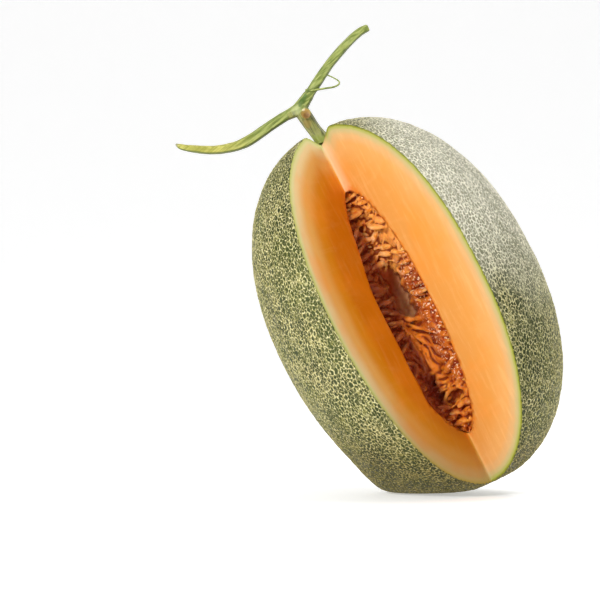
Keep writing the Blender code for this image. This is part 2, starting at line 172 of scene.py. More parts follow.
STUB_ROUTE = ((-0.0557, 0.0110, 0.1052), (-0.0554, 0.0060, 0.1050), (-0.0552, 0.0042, 0.1049))
STUB_RADII = (0.0030, 0.0027, 0.0030)
TENDRIL_ROUTE = (
    (-0.0552, 0.0110, 0.1180), (-0.0522, 0.0086, 0.1177), (-0.0455, 0.0076, 0.1187),
    (-0.0400, 0.0076, 0.1196), (-0.0372, 0.0082, 0.1212), (-0.0375, 0.0092, 0.1230),
    (-0.0408, 0.0108, 0.1251), (-0.0446, 0.0122, 0.1268), (-0.0470, 0.0130, 0.1276),
)
TENDRIL_RADII = (0.0008, 0.00065, 0.00055, 0.0005, 0.00045, 0.0004, 0.0004, 0.0004, 0.0005)
STEM_VOXEL = 0.00026
FORK_PLACES = ((-0.0585, 0.0112, 0.1085), (-0.0545, 0.0085, 0.1055))  # where shoots grow together
FORK_REACH = 0.0048

# Marks on the stem: place from the fruit's middle, size, colour and strength
STEM_SPOTS = (
    ((-0.0552, 0.0042, 0.1049), 0.0036, (0.40, 0.235, 0.045), 0.95),
    ((-0.0548, 0.0040, 0.1040), 0.0024, (0.19, 0.085, 0.012), 0.9),
    ((-0.0566, 0.0040, 0.1070), 0.0012, (0.80, 0.72, 0.45), 0.8),
    ((-0.0548, 0.0072, 0.0995), 0.0036, (0.24, 0.17, 0.02), 0.85),
    ((-0.0605, 0.0085, 0.1068), 0.0036, (0.48, 0.52, 0.24), 0.5),
    ((-0.0584, 0.0085, 0.1098), 0.0019, (0.06, 0.13, 0.01), 0.8),
    ((-0.0577, 0.0085, 0.1114), 0.0020, (0.06, 0.13, 0.01), 0.8),
    ((-0.0569, 0.0085, 0.1132), 0.0020, (0.06, 0.13, 0.01), 0.8),
    ((-0.0560, 0.0085, 0.1151), 0.0019, (0.06, 0.14, 0.01), 0.8),
    ((-0.0545, 0.0088, 0.1175), 0.0016, (0.08, 0.12, 0.02), 0.8),
    ((-0.0735, 0.0080, 0.0965), 0.0017, (0.10, 0.11, 0.03), 0.8),
    ((-0.0340, 0.0120, 0.1395), 0.0014, (0.10, 0.13, 0.03), 0.85),
    ((-0.1268, 0.0035, 0.0883), 0.0030, (0.28, 0.27, 0.20), 0.8),
    ((-0.0212, 0.0170, 0.1529), 0.0026, (0.22, 0.20, 0.09), 0.8),
)
VINE_SLOPE = math.radians(38)
STALK_SLOPE = math.radians(27)
VINE_GREENS = ((0.135, 0.185, 0.018), (0.385, 0.43, 0.115))
VINE_YELLOWS = ((0.31, 0.30, 0.030), (0.58, 0.54, 0.13))
# The second colour on the next line is painted shade for the vine's underside
VINE_MOTTLE, VINE_PAINTED_SHADE, VINE_SPECK = (0.50, 0.53, 0.24), (0.075, 0.110, 0.006), (0.14, 0.18, 0.03)
STALK_GREENS = ((0.060, 0.065, 0.006), (0.30, 0.30, 0.070))
STALK_FOOT = (0.27, 0.31, 0.04)

# Colours of the rind: the gaps of the net, its cork, a painted sheen on both at the upper right, and painted
# shade near the floor
GAP_DARK, GAP_LIGHT, GAP_SPECK = (0.021, 0.030, 0.004), (0.049, 0.063, 0.008), (0.11, 0.135, 0.025)
CORK_WARM, CORK_GREEN, CORK_SPECK = (0.41, 0.36, 0.130), (0.28, 0.265, 0.072), (0.83, 0.76, 0.42)
GAP_PAINTED_SHEEN, CORK_PAINTED_SHEEN = (0.37, 0.355, 0.24), (0.92, 0.88, 0.73)
FLOOR_PAINTED_SHADE = (0.52, 0.45, 0.26)

# Colours of the flesh from the rind inward: shares of the band's depth in millimetres, on each cut. The left
# cut's band turns darker towards the knife line than the right's: real colour plus painted shade.
RIGHT_DEPTH = 24
RIGHT_BAND = (
    (0.000, (0.16, 0.18, 0.014)),
    (0.026, (0.26, 0.28, 0.035)),
    (0.055, (0.38, 0.385, 0.10)),
    (0.125, (0.50, 0.400, 0.180)),
    (0.250, (0.635, 0.375, 0.155)),
    (0.450, (0.705, 0.345, 0.105)),
    (1.000, (0.700, 0.305, 0.066)),
)
LEFT_DEPTH = 30
LEFT_BAND = (
    (0.000, (0.38, 0.44, 0.10)),
    (0.030, (0.56, 0.60, 0.22)),
    (0.075, (0.66, 0.62, 0.30)),
    (0.150, (0.74, 0.57, 0.285)),
    (0.400, (0.74, 0.395, 0.100)),
    (0.740, (0.66, 0.240, 0.005)),
    (1.000, (0.60, 0.175, 0.0003)),
)
FIBRE_ALONG, FIBRE_ACROSS, FLESH_CLOUD = (0.98, 0.60, 0.27), (0.98, 0.62, 0.30), (0.90, 0.28, 0.02)
# Of the next three colours, the first is painted shade low on the left cut and the last a painted highlight
# on the right cut
FLESH_PAINTED_SHADE, FLESH_CORE, FLESH_PAINTED_HIGHLIGHT = (0.36, 0.16, 0.018), (0.72, 0.20, 0.014), (0.96, 0.55, 0.33)

# Colours of the pulp and the seeds
PULP_TONES = (
    (0.34, (0.40, 0.050, 0.004)),
    (0.47, (0.68, 0.150, 0.007)),
    (0.56, (0.82, 0.250, 0.018)),
    (0.68, (0.90, 0.370, 0.050)),
)
# Painted light: the second and third colours on the next line pale the crests and the ridge
PULP_STRAND, PULP_CREST_LIGHT, PULP_RIDGE_HIGHLIGHT = (0.95, 0.46, 0.12), (0.96, 0.46, 0.10), (0.95, 0.58, 0.28)
# The last colour on the next line is painted shade for the left of the cavity
PULP_GOLD, PULP_FAN, PULP_LEFT_SHADE = (0.92, 0.47, 0.12), (0.82, 0.23, 0.010), (0.19, 0.020, 0.003)
# Painted shade: a filter that darkens the pulp's lower right
PULP_RIGHT_SHADE = (0.66, 0.50, 0.34)
# Painted shade: the first colour on the next line darkens creases, the second places lying deep
PULP_CREASE_SHADE, PULP_RECESS_SHADE = (0.15, 0.012, 0.003), (0.15, 0.014, 0.004)
# The first colour on the next line is painted shade for the hollow wall's left side
WALL_SHADE, WALL_PALE = (0.44, 0.075, 0.016), (0.74, 0.37, 0.165)
# Along the right edge: the first colour is painted shade, the second painted glints
EDGE_SHADE, EDGE_GLINT = (0.28, 0.028, 0.004), (0.98, 0.72, 0.48)
SEED_TONES = (
    (0.30, (0.55, 0.125, 0.006)),
    (0.50, (0.78, 0.27, 0.030)),
    (0.66, (0.86, 0.44, 0.105)),
)
# All three colours on the next line are painted shade: for deep seeds, the left, and the lower right
SEED_RECESS_SHADE, SEED_LEFT_SHADE, SEED_RIGHT_SHADE = (0.26, 0.035, 0.003), (0.24, 0.030, 0.003), (0.72, 0.56, 0.42)

# The backdrop: its half width, how far behind the fruit it starts to rise, its curve and its height
BACKDROP_REACH = 5.0
BACKDROP_BEND = 1.2
BACKDROP_CURVE = 1.2
BACKDROP_HEIGHT = 4.0
BACKDROP_STEPS = 16
BACKDROP_COLOUR = (0.86, 0.86, 0.86)
BACKDROP_GLOW = 0.42
STUDIO_LIGHT = 0.38
LIGHTS_AIM = (-0.01, 0.0, 0.10)
LIGHTS = (  # name, place, width and power
    ("key", (-0.75, -0.95, 0.50), 0.26, 10.5),
    ("top", (0.55, 0.20, 1.15), 0.6, 8),
    ("front", (0.25, -1.40, 0.35), 0.7, 1.5),
)

# The camera, a little above the fruit's middle
CAMERA_DISTANCE = 1.6
CAMERA_RISE = math.radians(0.5)
CAMERA_SENSOR = 36
FRAME_WIDTH = 0.3264  # what the picture takes in at the fruit's middle
FRAME_PLACE = (407 / 600, 306 / 600)  # where the fruit's middle is in the picture, from its top left


def standing():
    """The matrix from the fruit's own frame to the world."""
    turn = Matrix.Rotation(-LEAN, 4, "X") @ Matrix.Rotation(-TILT, 4, "Y")
    return Matrix.Translation(CENTRE) @ turn


def in_world(points):
    matrix = np.array(standing())
    return points @ matrix[:3, :3].T + matrix[:3, 3]


def in_fruit(points):
    matrix = np.array(standing())
    return (points - matrix[:3, 3]) @ matrix[:3, :3]


def ramp(start, end, value):
    """0 at start and 1 at end, smoothly; value may be an array."""
    share = np.clip((value - start) / (end - start), 0.0, 1.0)
    return share * share * (3 - 2 * share)


def new_object(name, mesh):
    obj = bpy.data.objects.new(name, mesh)
    bpy.context.scene.collection.objects.link(obj)
    return obj


def mesh_of(name, points, faces):
    mesh = bpy.data.meshes.new(name)
    mesh.from_pydata([tuple(p) for p in points], [], faces)
    mesh.update()
    return mesh


def object_of(name, bm):
    """Turns a bmesh into an object and frees it."""
    mesh = bpy.data.meshes.new(name)
    bm.to_mesh(mesh)
    bm.free()
    return new_object(name, mesh)


def opened(mesh):
    bm = bmesh.new()
    bm.from_mesh(mesh)
    return bm


def stored(bm, mesh):
    bm.to_mesh(mesh)
    bm.free()


def facing_out(mesh):
    bm = opened(mesh)
    bmesh.ops.recalc_face_normals(bm, faces=bm.faces)
    stored(bm, mesh)


def set_values(mesh, name, values):
    """Stores one number for each point of a mesh, for its material to read."""
    if name in mesh.attributes:
        mesh.attributes.remove(mesh.attributes[name])
    layer = mesh.attributes.new(name, "FLOAT", "POINT")
    layer.data.foreach_set("value", np.asarray(values, np.float32))


def get_values(mesh, name):
    values = np.empty(len(mesh.vertices), np.float32)
    mesh.attributes[name].data.foreach_get("value", values)
    return values


def points_of(mesh, what="co"):
    """The places of a mesh's points, or their normals."""
    values = np.empty(len(mesh.vertices) * 3, np.float32)
    mesh.vertices.foreach_get(what, values)
    return values.reshape(-1, 3).astype(float)


def apply_modifiers(obj):
    graph = bpy.context.evaluated_depsgraph_get()
    made = bpy.data.meshes.new_from_object(obj.evaluated_get(graph))
    obj.modifiers.clear()
    obj.data = made


def cut(obj, cutter, operation="DIFFERENCE"):
    """Cuts one object from another, gives the cut faces the cutter's material, and removes the cutter."""
    modifier = obj.modifiers.new("cut", "BOOLEAN")
    modifier.operation = operation
    modifier.solver = "MANIFOLD"
    modifier.object = cutter
    modifier.material_mode = "TRANSFER"
    apply_modifiers(obj)
    bpy.data.objects.remove(cutter)


class Nodes:
    """A short way to write a material's nodes: each call adds one and gives back its output."""

    def __init__(self, name):
        self.material = bpy.data.materials.new(name)
        self.material.use_nodes = True
        self.tree = self.material.node_tree
        self.shader = self.tree.nodes["Principled BSDF"]

    def put(self, socket, value):
        if isinstance(value, bpy.types.NodeSocket):
            self.tree.links.new(value, socket)
        elif isinstance(value, tuple) and socket.type == "RGBA":
            socket.default_value = (*value, 1)
        else:
            socket.default_value = value

    def node(self, kind, inputs=(), **settings):
        made = self.tree.nodes.new("ShaderNode" + kind)
        for key, value in settings.items():
            setattr(made, key, value)
        for key, value in dict(inputs).items():
            self.put(made.inputs[key], value)
        return made

    def world(self):
        return self.node("TexCoord").outputs["Object"]

    def vector(self, operation, first, second):
        made = self.node("VectorMath", {0: first, 1: second}, operation=operation)
        return made.outputs["Value" if operation in ("DOT_PRODUCT", "DISTANCE") else 0]

    def place(self):
        """Positions in the fruit's own frame."""
        moved = self.vector("SUBTRACT", self.world(), CENTRE)
        turn = standing().inverted()
        rows = {row: self.vector("DOT_PRODUCT", moved, turn[row][:3]) for row in range(3)}
        return self.node("CombineXYZ", rows).outputs[0]

    def split(self, vector):
        return self.node("SeparateXYZ", {0: vector}).outputs

    def value(self, name):
        return self.node("Attribute", attribute_name=name).outputs["Fac"]

    def scaled(self, vector, scale):
        return self.node("Mapping", {"Vector": vector, "Scale": scale}).outputs[0]

    def turned(self, vector, angle):
        inputs = {"Vector": vector, "Angle": angle}
        return self.node("VectorRotate", inputs, rotation_type="Y_AXIS").outputs[0]

    def noise(self, vector, scale, detail=3, rough=0.55, warp=0.0):
        inputs = {"Vector": vector, "Scale": scale, "Detail": detail, "Roughness": rough, "Distortion": warp}
        return self.node("TexNoise", inputs).outputs["Fac"]

    def math(self, operation, first, second=0.0):
        return self.node("Math", {0: first, 1: second}, operation=operation).outputs[0]

    def times(self, first, *others):
        for other in others:
            first = self.math("MULTIPLY", first, other)
        return first

    def plus(self, first, second):
        return self.math("ADD", first, second)

    def minus(self, first, second):
        return self.math("SUBTRACT", first, second)

    def step(self, value, start, end, low=0.0, high=1.0):
        """Low at start and high at end, smoothly."""
        inputs = {"Value": value, "From Min": start, "From Max": end, "To Min": low, "To Max": high}
        return self.node("MapRange", inputs, interpolation_type="SMOOTHSTEP").outputs[0]

    def mix(self, share, first, second, blend="MIX"):
        inputs = {0: share, 6: first, 7: second}
        return self.node("Mix", inputs, data_type="RGBA", blend_type=blend).outputs[2]

    def tint(self, colour, other, *shares):
        """Brings in another colour, by the product of some shares."""
        return self.mix(self.times(*shares), colour, other)

    def multiply_shade(self, colour, filter_colour, share):
        """Multiplies a colour by another one, by a share; it paints shade wherever it is used."""
        return self.mix(share, colour, self.mix(1.0, colour, filter_colour, "MULTIPLY"))

    def blend(self, share, first, second):
        return self.node("Mix", {0: share, 2: first, 3: second}, data_type="FLOAT").outputs[0]

    def ramp(self, value, stops):
        """Colours along a value, given as (place, colour) pairs."""
        made = self.node("ValToRGB", {0: value})
        made.color_ramp.interpolation = "EASE"
        elements = made.color_ramp.elements
        while len(elements) < len(stops):
            elements.new(0.5)
        for element, (place, colour) in zip(elements, stops):
            element.position = place
            element.color = (*colour, 1)
        return made.outputs[0]

    def bump(self, height, distance, strength=1.0):
        inputs = {"Height": height, "Distance": distance, "Strength": strength}
        return self.node("Bump", inputs).outputs[0]

    def finish(self, **inputs):
        names = {
            "colour": "Base Color",
            "roughness": "Roughness",
            "shine": "Specular IOR Level",
            "normal": "Normal",
            "wet": "Coat Weight",
            "wet_roughness": "Coat Roughness",
            "wet_normal": "Coat Normal",
            "depth": "Subsurface Weight",
            "depth_scale": "Subsurface Scale",
            "depth_colour": "Subsurface Radius",
        }
        for key, value in inputs.items():
            self.put(self.shader.inputs[names[key]], value)
        return self.material


def rind_material():
    """Green skin between lines of cork, which are broken and pale at their grit, with a painted sheen that
    makes the upper right paler and painted shade near the floor.
    """
    n = Nodes("rind_netted")
    place = n.place()
    x, _, z = n.split(place)
    broad = n.noise(place, 14, 3)
    streak = n.noise(n.scaled(place, (1, 1, 0.25)), 260, 4, 0.65)
    fine = n.noise(place, 1300, 4, 0.65)
    grit = n.noise(place, 1000, 2, 0.6)
    # The raised net's own cork, with an uneven edge
    edge = n.minus(1.63, n.plus(n.times(streak, 0.75), n.times(grit, 0.85)))
    share = n.step(n.value("cork"), n.minus(edge, 0.13), n.plus(edge, 0.11))
    # Thin cracks between the net's lines
    shove = n.node("TexNoise", {"Vector": place, "Scale": 700}).outputs["Color"]
    push = n.node("VectorMath", {0: shove, "Scale": 0.0011}, operation="SCALE").outputs[0]
    warped = n.vector("ADD", n.scaled(place, (1, 1, 0.5)), push)
    crack = n.node("TexVoronoi", {"Vector": warped, "Scale": 830}, feature="DISTANCE_TO_EDGE")
    crack = crack.outputs["Distance"]
    thin = n.times(n.step(crack, 0.13, 0.04), n.step(n.noise(place, 330, 2), 0.44, 0.58))
    share = n.math("MAXIMUM", share, n.times(thin, 0.5))
    # Long lines that run along the fruit in patches
    line = n.math("ABSOLUTE", n.minus(n.noise(n.scaled(place, (1, 1, 0.14)), 330, 2, 0.5), 0.5))
    line = n.times(n.step(line, 0.035, 0.012), n.step(n.noise(place, 130, 2), 0.46, 0.56))
    share = n.math("MAXIMUM", share, n.times(line, 0.9))
    # Painted sheen: the cork and the gaps turn paler on the upper right, where light falls
    painted_sheen = n.times(n.step(x, 0.004, 0.042), n.step(z, -0.060, 0.035), n.step(broad, 0.28, 0.48))
    gap = n.mix(n.step(broad, 0.35, 0.65), GAP_DARK, GAP_LIGHT)
    gap = n.tint(gap, GAP_SPECK, n.step(fine, 0.4, 0.7), 0.30)
    gap = n.tint(gap, GAP_PAINTED_SHEEN, painted_sheen, 0.8)
    cork = n.mix(n.step(n.noise(place, 60, 3), 0.35, 0.65), CORK_WARM, CORK_GREEN)
    cork = n.tint(cork, CORK_SPECK, n.step(grit, 0.44, 0.64), 0.68)
    cork = n.tint(cork, CORK_PAINTED_SHEEN, painted_sheen, 0.9)
    # Painted shade: the rind is darkened towards the floor
    painted_floor_shade = n.step(n.split(n.world())[2], 0.050, 0.010, 0.0, 0.85)
    return n.finish(
        colour=n.multiply_shade(n.mix(share, gap, cork), FLOOR_PAINTED_SHADE, painted_floor_shade),
        roughness=n.blend(share, 0.42, 0.72),
        shine=0.3,
        normal=n.bump(n.plus(n.times(share, 0.9), n.times(fine, 0.35)), 0.00025, 0.9),
        depth=0.05,
        depth_scale=0.0015,
        depth_colour=(0.6, 1.0, 0.3),
    )


def flesh_material():
    """Flesh from green under the rind to deep orange, with fibres, and a ragged darker rim at the cavity."""
    n = Nodes("flesh_cut")
    place = n.place()
    x, _, z = n.split(place)
    depth = n.times(n.value("depth"), 1000)
    left = n.step(x, KNIFE_LINE.x + 0.0004, KNIFE_LINE.x - 0.0004)
    wander = n.minus(n.noise(place, 45, 3), 0.5)
    deep = n.plus(depth, n.times(wander, 3.0, n.step(depth, 0.9, 7)))
    right_band = n.ramp(n.math("DIVIDE", deep, RIGHT_DEPTH), RIGHT_BAND)
    left_band = n.ramp(n.math("DIVIDE", deep, LEFT_DEPTH), LEFT_BAND)
    # Each cut has its own band; the left one carries painted shade as well as the flesh's colour
    colour = n.mix(left, right_band, left_band)
    along = n.noise(n.scaled(place, (1, 1, 0.16)), 320, 4, 0.6, 0.3)
    across = n.noise(n.scaled(place, (0.3, 0.3, 1)), 170, 3, 0.55, 0.5)
    cloud = n.noise(place, 30, 3, 0.55)
    inner = n.step(depth, 1.5, 5.0)
    fibre = n.times(n.step(along, 0.46, 0.76), n.minus(0.18, n.times(left, 0.10)))
    colour = n.tint(colour, FIBRE_ALONG, fibre, inner)
    colour = n.tint(colour, FIBRE_ACROSS, n.step(across, 0.52, 0.8), 0.07, inner)
    colour = n.tint(colour, FLESH_CLOUD, n.step(cloud, 0.44, 0.70), 0.36, inner)
    # Painted shade: the left cut darkens towards its low end
    colour = n.tint(colour, FLESH_PAINTED_SHADE, left, n.step(z, -0.030, -0.095, 0.0, 0.62))
    core = n.vector("SUBTRACT", place, CAVITY_CENTRE)
    core = n.scaled(core, (1 / CAVITY_RADIUS, 1 / CAVITY_RADIUS, 1 / CAVITY_HALF_LENGTH))
    beyond = n.minus(n.node("VectorMath", {0: core}, operation="LENGTH").outputs["Value"], 1.0)
    ragged = n.times(n.minus(n.noise(place, 420, 3, 0.6), 0.5), 0.22)
    colour = n.tint(colour, FLESH_CORE, n.step(n.plus(beyond, ragged), 0.085, 0.0), 0.85)
    # A painted highlight: a pale strip along the right cut above the cavity
    painted_highlight_strip = n.times(n.step(x, KNIFE_LINE.x + 0.0052, KNIFE_LINE.x + 0.0015), n.step(left, 1.0, 0.0))
    colour = n.tint(colour, FLESH_PAINTED_HIGHLIGHT, painted_highlight_strip, n.step(z, 0.066, 0.074), 0.6)
    grain = n.noise(place, 1300, 3, 0.6)
    height = n.plus(n.plus(n.times(along, 0.8), n.times(grain, 0.35)), n.times(across, 0.6))
    return n.finish(
        colour=colour,
        roughness=n.step(grain, 0.3, 0.8, 0.40, 0.55),
        shine=0.15,
        normal=n.bump(height, 0.00022, 0.5),
        depth=0.12,
        depth_scale=0.003,
        depth_colour=(1.0, 0.40, 0.12),
        wet=0.03,
        wet_roughness=0.28,
    )


def stem_material():
    """Striped green, yellower towards the vine's left end, with painted shade underneath, and with its marks.
    """
    n = Nodes("stem_green")
    place = n.vector("SUBTRACT", n.world(), CENTRE)
    x, _, z = n.split(place)
    fine = n.noise(place, 900, 4, 0.6)
    mottle = n.noise(place, 260, 3, 0.6)
    stripes = n.noise(n.scaled(n.turned(place, VINE_SLOPE), (0.05, 1, 1)), 850, 3, 0.5)
    stalk_stripes = n.noise(n.scaled(n.turned(place, STALK_SLOPE), (1, 1, 0.06)), 700, 3, 0.5)
    # Painted shade: surfaces that face down are darkened, as light falls from above
    painted_underside_shade = n.split(n.node("NewGeometry").outputs["Normal"])[2]
    painted_underside_shade = n.step(n.plus(painted_underside_shade, n.times(mottle, 0.5)), 0.25, -0.45)
    green = n.mix(n.step(stripes, 0.36, 0.64), *VINE_GREENS)
    green = n.tint(green, VINE_MOTTLE, n.step(mottle, 0.5, 0.75), 0.35)
    yellow = n.mix(n.step(stripes, 0.36, 0.64), *VINE_YELLOWS)
    colour = n.mix(n.step(x, -0.078, -0.104), green, yellow)
    colour = n.tint(colour, VINE_PAINTED_SHADE, painted_underside_shade, 0.85)
    # The stalk, below the fork, and its foot
    stalk = n.mix(n.step(stalk_stripes, 0.36, 0.62), *STALK_GREENS)
    below = n.step(n.plus(z, n.times(mottle, 0.002)), 0.1085, 0.1055)
    inside = n.step(x, -0.0665, -0.0635)
    colour = n.tint(colour, stalk, below, inside)
    colour = n.tint(colour, STALK_FOOT, n.step(z, 0.0945, 0.0915), inside)
    colour = n.tint(colour, VINE_SPECK, n.step(fine, 0.55, 0.75), 0.3)
    for spot, reach, mark, strength in STEM_SPOTS:
        uneven = n.times(n.minus(mottle, 0.5), reach * 0.8)
        away = n.plus(n.vector("DISTANCE", place, spot), uneven)
        colour = n.tint(colour, mark, n.step(away, reach, reach * 0.45), strength)
    return n.finish(
        colour=colour,
        roughness=n.step(fine, 0.3, 0.7, 0.42, 0.6),
        normal=n.bump(n.plus(n.times(stripes, 0.7), n.times(fine, 0.5)), 0.00022, 0.8),
        depth=0.15,
        depth_scale=0.0015,
        depth_colour=(0.7, 1.0, 0.25),
    )


def pulp_right(n, x, z, top, bottom):
    """How much a point lies on the right of the knife line, below the golden part and above the low end."""
    right = n.times(n.step(x, KNIFE_LINE.x, KNIFE_LINE.x + 0.004), n.step(z, top, bottom))
    return n.times(right, n.step(z, -0.050, -0.036, 0.3, 1.0))


def pulp_material():
    """Wet pulp: golden at the upper right and orange in the fan. Painted shade darkens it on the left, on the
    lower right, in its creases, where it lies deep, on the hollow wall's left side and in patches at the
    right edge; painted light makes its crests, its ridge and flecks at the right edge pale.
    """
    n = Nodes("pulp_wet")
    place = n.place()
    x, y, z = n.split(place)
    sunk = n.times(n.value("sunk"), 1000)
    crease = n.value("crease")
    cloud = n.noise(place, 150, 4, 0.6)
    strand = n.noise(n.scaled(place, (1, 1, 0.4)), 520, 4, 0.6, 0.6)
    fine = n.noise(place, 1500, 3, 0.6)
    colour = n.ramp(cloud, PULP_TONES)
    colour = n.tint(colour, PULP_STRAND, n.step(strand, 0.52, 0.72), 0.35)
    # Painted light: crests of the pulp turn paler
    colour = n.tint(colour, PULP_CREST_LIGHT, n.step(crease, -0.05, -0.50, 0.0, 0.5))
    gold = n.times(n.step(x, KNIFE_LINE.x, KNIFE_LINE.x + 0.005), n.step(z, 0.008, 0.028))
    colour = n.tint(colour, PULP_GOLD, gold, 0.45)
    fan = n.times(n.step(z, -0.002, -0.012), n.step(z, -0.050, -0.038))
    fan = n.times(fan, n.step(n.plus(x, n.times(z, 0.105)), -0.0100, -0.0078))
    colour = n.tint(colour, PULP_FAN, fan, 0.55)
    # Painted shade: the left of the cavity, shaded by the left cut, is darkened
    left = n.times(n.step(x, KNIFE_LINE.x + 0.001, KNIFE_LINE.x - 0.004), n.step(z, -0.070, -0.060))
    left = n.times(left, n.minus(1.0, n.times(fan, 0.7)))
    colour = n.tint(colour, PULP_LEFT_SHADE, left, 0.88)
    # Painted shade: the lower right, lit too brightly by the key, is darkened
    colour = n.multiply_shade(colour, PULP_RIGHT_SHADE, n.times(pulp_right(n, x, z, 0.026, 0.006), 0.8))
    # Painted shade: creases of the pulp are darkened
    crease_shade = n.step(n.plus(crease, n.times(cloud, 0.25)), 0.11, 0.44, 0.0, 0.9)
    colour = n.tint(colour, PULP_CREASE_SHADE, crease_shade)
    # Painted shade: pulp that lies deep behind the cuts is darkened
    colour = n.tint(colour, PULP_RECESS_SHADE, n.step(n.plus(sunk, n.times(cloud, 2.0)), 5.5, 9.5, 0.0, 0.9))
    # A painted highlight: the ridge above the deep hollow is paled
    ridge = n.times(n.step(n.math("ABSOLUTE", n.plus(x, 0.0006)), 0.0036, 0.0012), n.step(z, 0.020, 0.028))
    ridge = n.times(ridge, n.step(z, 0.052, 0.044), n.step(crease, 0.15, -0.15), n.step(cloud, 0.40, 0.58))
    colour = n.tint(colour, PULP_RIDGE_HIGHLIGHT, ridge, 0.6)
    # The hollow's wall: pale, with painted shade on its left side
    wall = n.times(n.step(y, -0.0010, 0.0035, 0.0, 0.92), n.step(z, -0.016, -0.008))
    side = n.step(n.minus(x, n.times(z, 0.35)), -0.0075, 0.0005)
    colour = n.mix(wall, colour, n.mix(side, WALL_SHADE, WALL_PALE))
    # Painted shade in dark patches and painted glints as pale flecks along the right edge
    painted_glint = n.step(n.noise(n.scaled(place, (1, 1, 1.6)), 560, 2, 0.5), 0.58, 0.64)
    crevice_shade = n.step(n.noise(place, 300, 3, 0.6), 0.50, 0.58)
    edge = n.times(n.step(x, KNIFE_LINE.x + 0.0045, KNIFE_LINE.x + 0.0085), n.step(z, -0.055, -0.040))
    edge = n.times(edge, n.step(z, 0.030, 0.012))
    colour = n.tint(colour, EDGE_SHADE, crevice_shade, edge, 0.75)
    # Painted glints: pale flecks stand in for wet highlights
    colour = n.tint(colour, EDGE_GLINT, painted_glint, edge, 0.85)
    wet = n.times(n.minus(1.0, wall), n.minus(1.0, crease_shade), 0.85)
    return n.finish(
        colour=colour,
        roughness=n.step(strand, 0.35, 0.7, 0.26, 0.40),
        shine=0.08,
        normal=n.bump(n.plus(n.times(strand, 0.8), n.times(fine, 0.25)), 0.0005, 0.6),
        depth=0.2,
        depth_scale=0.0015,
        depth_colour=(1.0, 0.20, 0.02),
        wet=n.plus(wet, 0.03),
        wet_roughness=0.07,
        wet_normal=n.bump(n.plus(strand, n.noise(place, 800, 2, 0.5)), 0.0022, 1.0),
    )


def seed_material():
    """Wet seeds, each with its own tone, with painted shade where they lie deep, on the left and on the lower
    right.
    """
    n = Nodes("seed_wet")
    place = n.place()
    x, _, z = n.split(place)
    cloud = n.noise(place, 260, 3, 0.6)
    fine = n.noise(place, 1400, 3, 0.6)
    colour = n.ramp(n.plus(n.times(cloud, 0.6), n.times(n.value("tint"), 0.4)), SEED_TONES)
    # Painted shade: seeds lying deep behind the cuts are darkened
    colour = n.tint(colour, SEED_RECESS_SHADE, n.step(n.times(n.value("sunk"), 1000), 3.0, 7.5, 0.0, 0.8))
    # Painted shade: seeds on the left of the cavity are darkened
    left = n.times(n.step(x, KNIFE_LINE.x + 0.001, KNIFE_LINE.x - 0.004), n.step(z, 0.062, 0.052))
    colour = n.tint(colour, SEED_LEFT_SHADE, left, 0.72)
    # Painted shade: seeds on the lower right, lit too brightly by the key, are darkened
    colour = n.multiply_shade(colour, SEED_RIGHT_SHADE, n.times(pulp_right(n, x, z, 0.030, 0.008), 0.75))
    return n.finish(
        colour=colour,
        roughness=n.step(fine, 0.3, 0.7, 0.24, 0.36),
        shine=0.1,
        normal=n.bump(fine, 0.00012, 0.5),
        depth=0.25,
        depth_scale=0.0015,
        depth_colour=(1.0, 0.30, 0.04),
        wet=0.9,
        wet_roughness=0.07,
        wet_normal=n.bump(n.noise(place, 800, 2, 0.5), 0.0012, 1.0),
    )


def skin(directions, height):
    """Points of the fruit's skin in directions on the unit sphere, raised by a height."""
    x, y, z = directions.T
    across = np.hypot(x, y)
    swell = (across**BLUNTNESS + np.abs(z) ** BLUNTNESS) ** (-1 / BLUNTNESS)
    points = directions * swell[:, None] * (RADIUS, RADIUS, HALF_LENGTH)
    out = points / (RADIUS**2, RADIUS**2, HALF_LENGTH**2)
    out /= np.linalg.norm(out, axis=1)[:, None]
    from_axis = np.hypot(points[:, 0], points[:, 1])
    top = points[:, 2] > 0
    rise = height * np.where(top, ramp(*NET_START, from_axis), 1.0)
    points += out * rise[:, None]
    in_basin = ramp(BASIN_RADIUS, BASIN_FLAT_RADIUS, from_axis) * top
    points[:, 2] += (HALF_LENGTH - BASIN_DEPTH - points[:, 2]) * in_basin
    points[:, 2] += ~top * SCAR_DEPTH * np.exp(-((from_axis / SCAR_RADIUS) ** 2))
    return points


def settled(points):
    """The skin's points, in the world's frame, once the fruit has sunk a little under its weight."""
    low, high = SAG_HEIGHTS
    place = np.array((CENTRE.x + SAG_PLACE.x, CENTRE.y + SAG_PLACE.y))
    away = np.linalg.norm(points[:, :2] - place, axis=1)
    sunk = SAG * np.exp(-((away / SAG_RADIUS) ** 2)) * ramp(high, low, points[:, 2])
    moved = points.copy()
    sunk_height = points[:, 2] - sunk
    height = (sunk_height + np.hypot(sunk_height, SAG_ROUNDING)) / 2
    moved[:, 2] = np.maximum(height - SAG_REST * np.exp(-height / SAG_REST_FADE), FLOOR_GAP)
    return moved


def spread_directions(count, shift, seed):
    """Directions spread over the unit sphere on a spiral, each strayed, with some left out."""
    draw = np.random.default_rng(seed)
    index = np.arange(count)
    height = 1 - (2 * index + 1) / count
    across = np.sqrt(1 - height**2)
    turn = math.pi * (3 - math.sqrt(5)) * index
    even = np.stack((across * np.cos(turn), across * np.sin(turn), height), axis=1)
    stray = shift * math.sqrt(4 * math.pi / count)
    moved = even + draw.uniform(-stray, stray, even.shape)
    moved = moved[draw.random(count) > NET_LEFT_OUT]
    return moved / np.linalg.norm(moved, axis=1)[:, None]


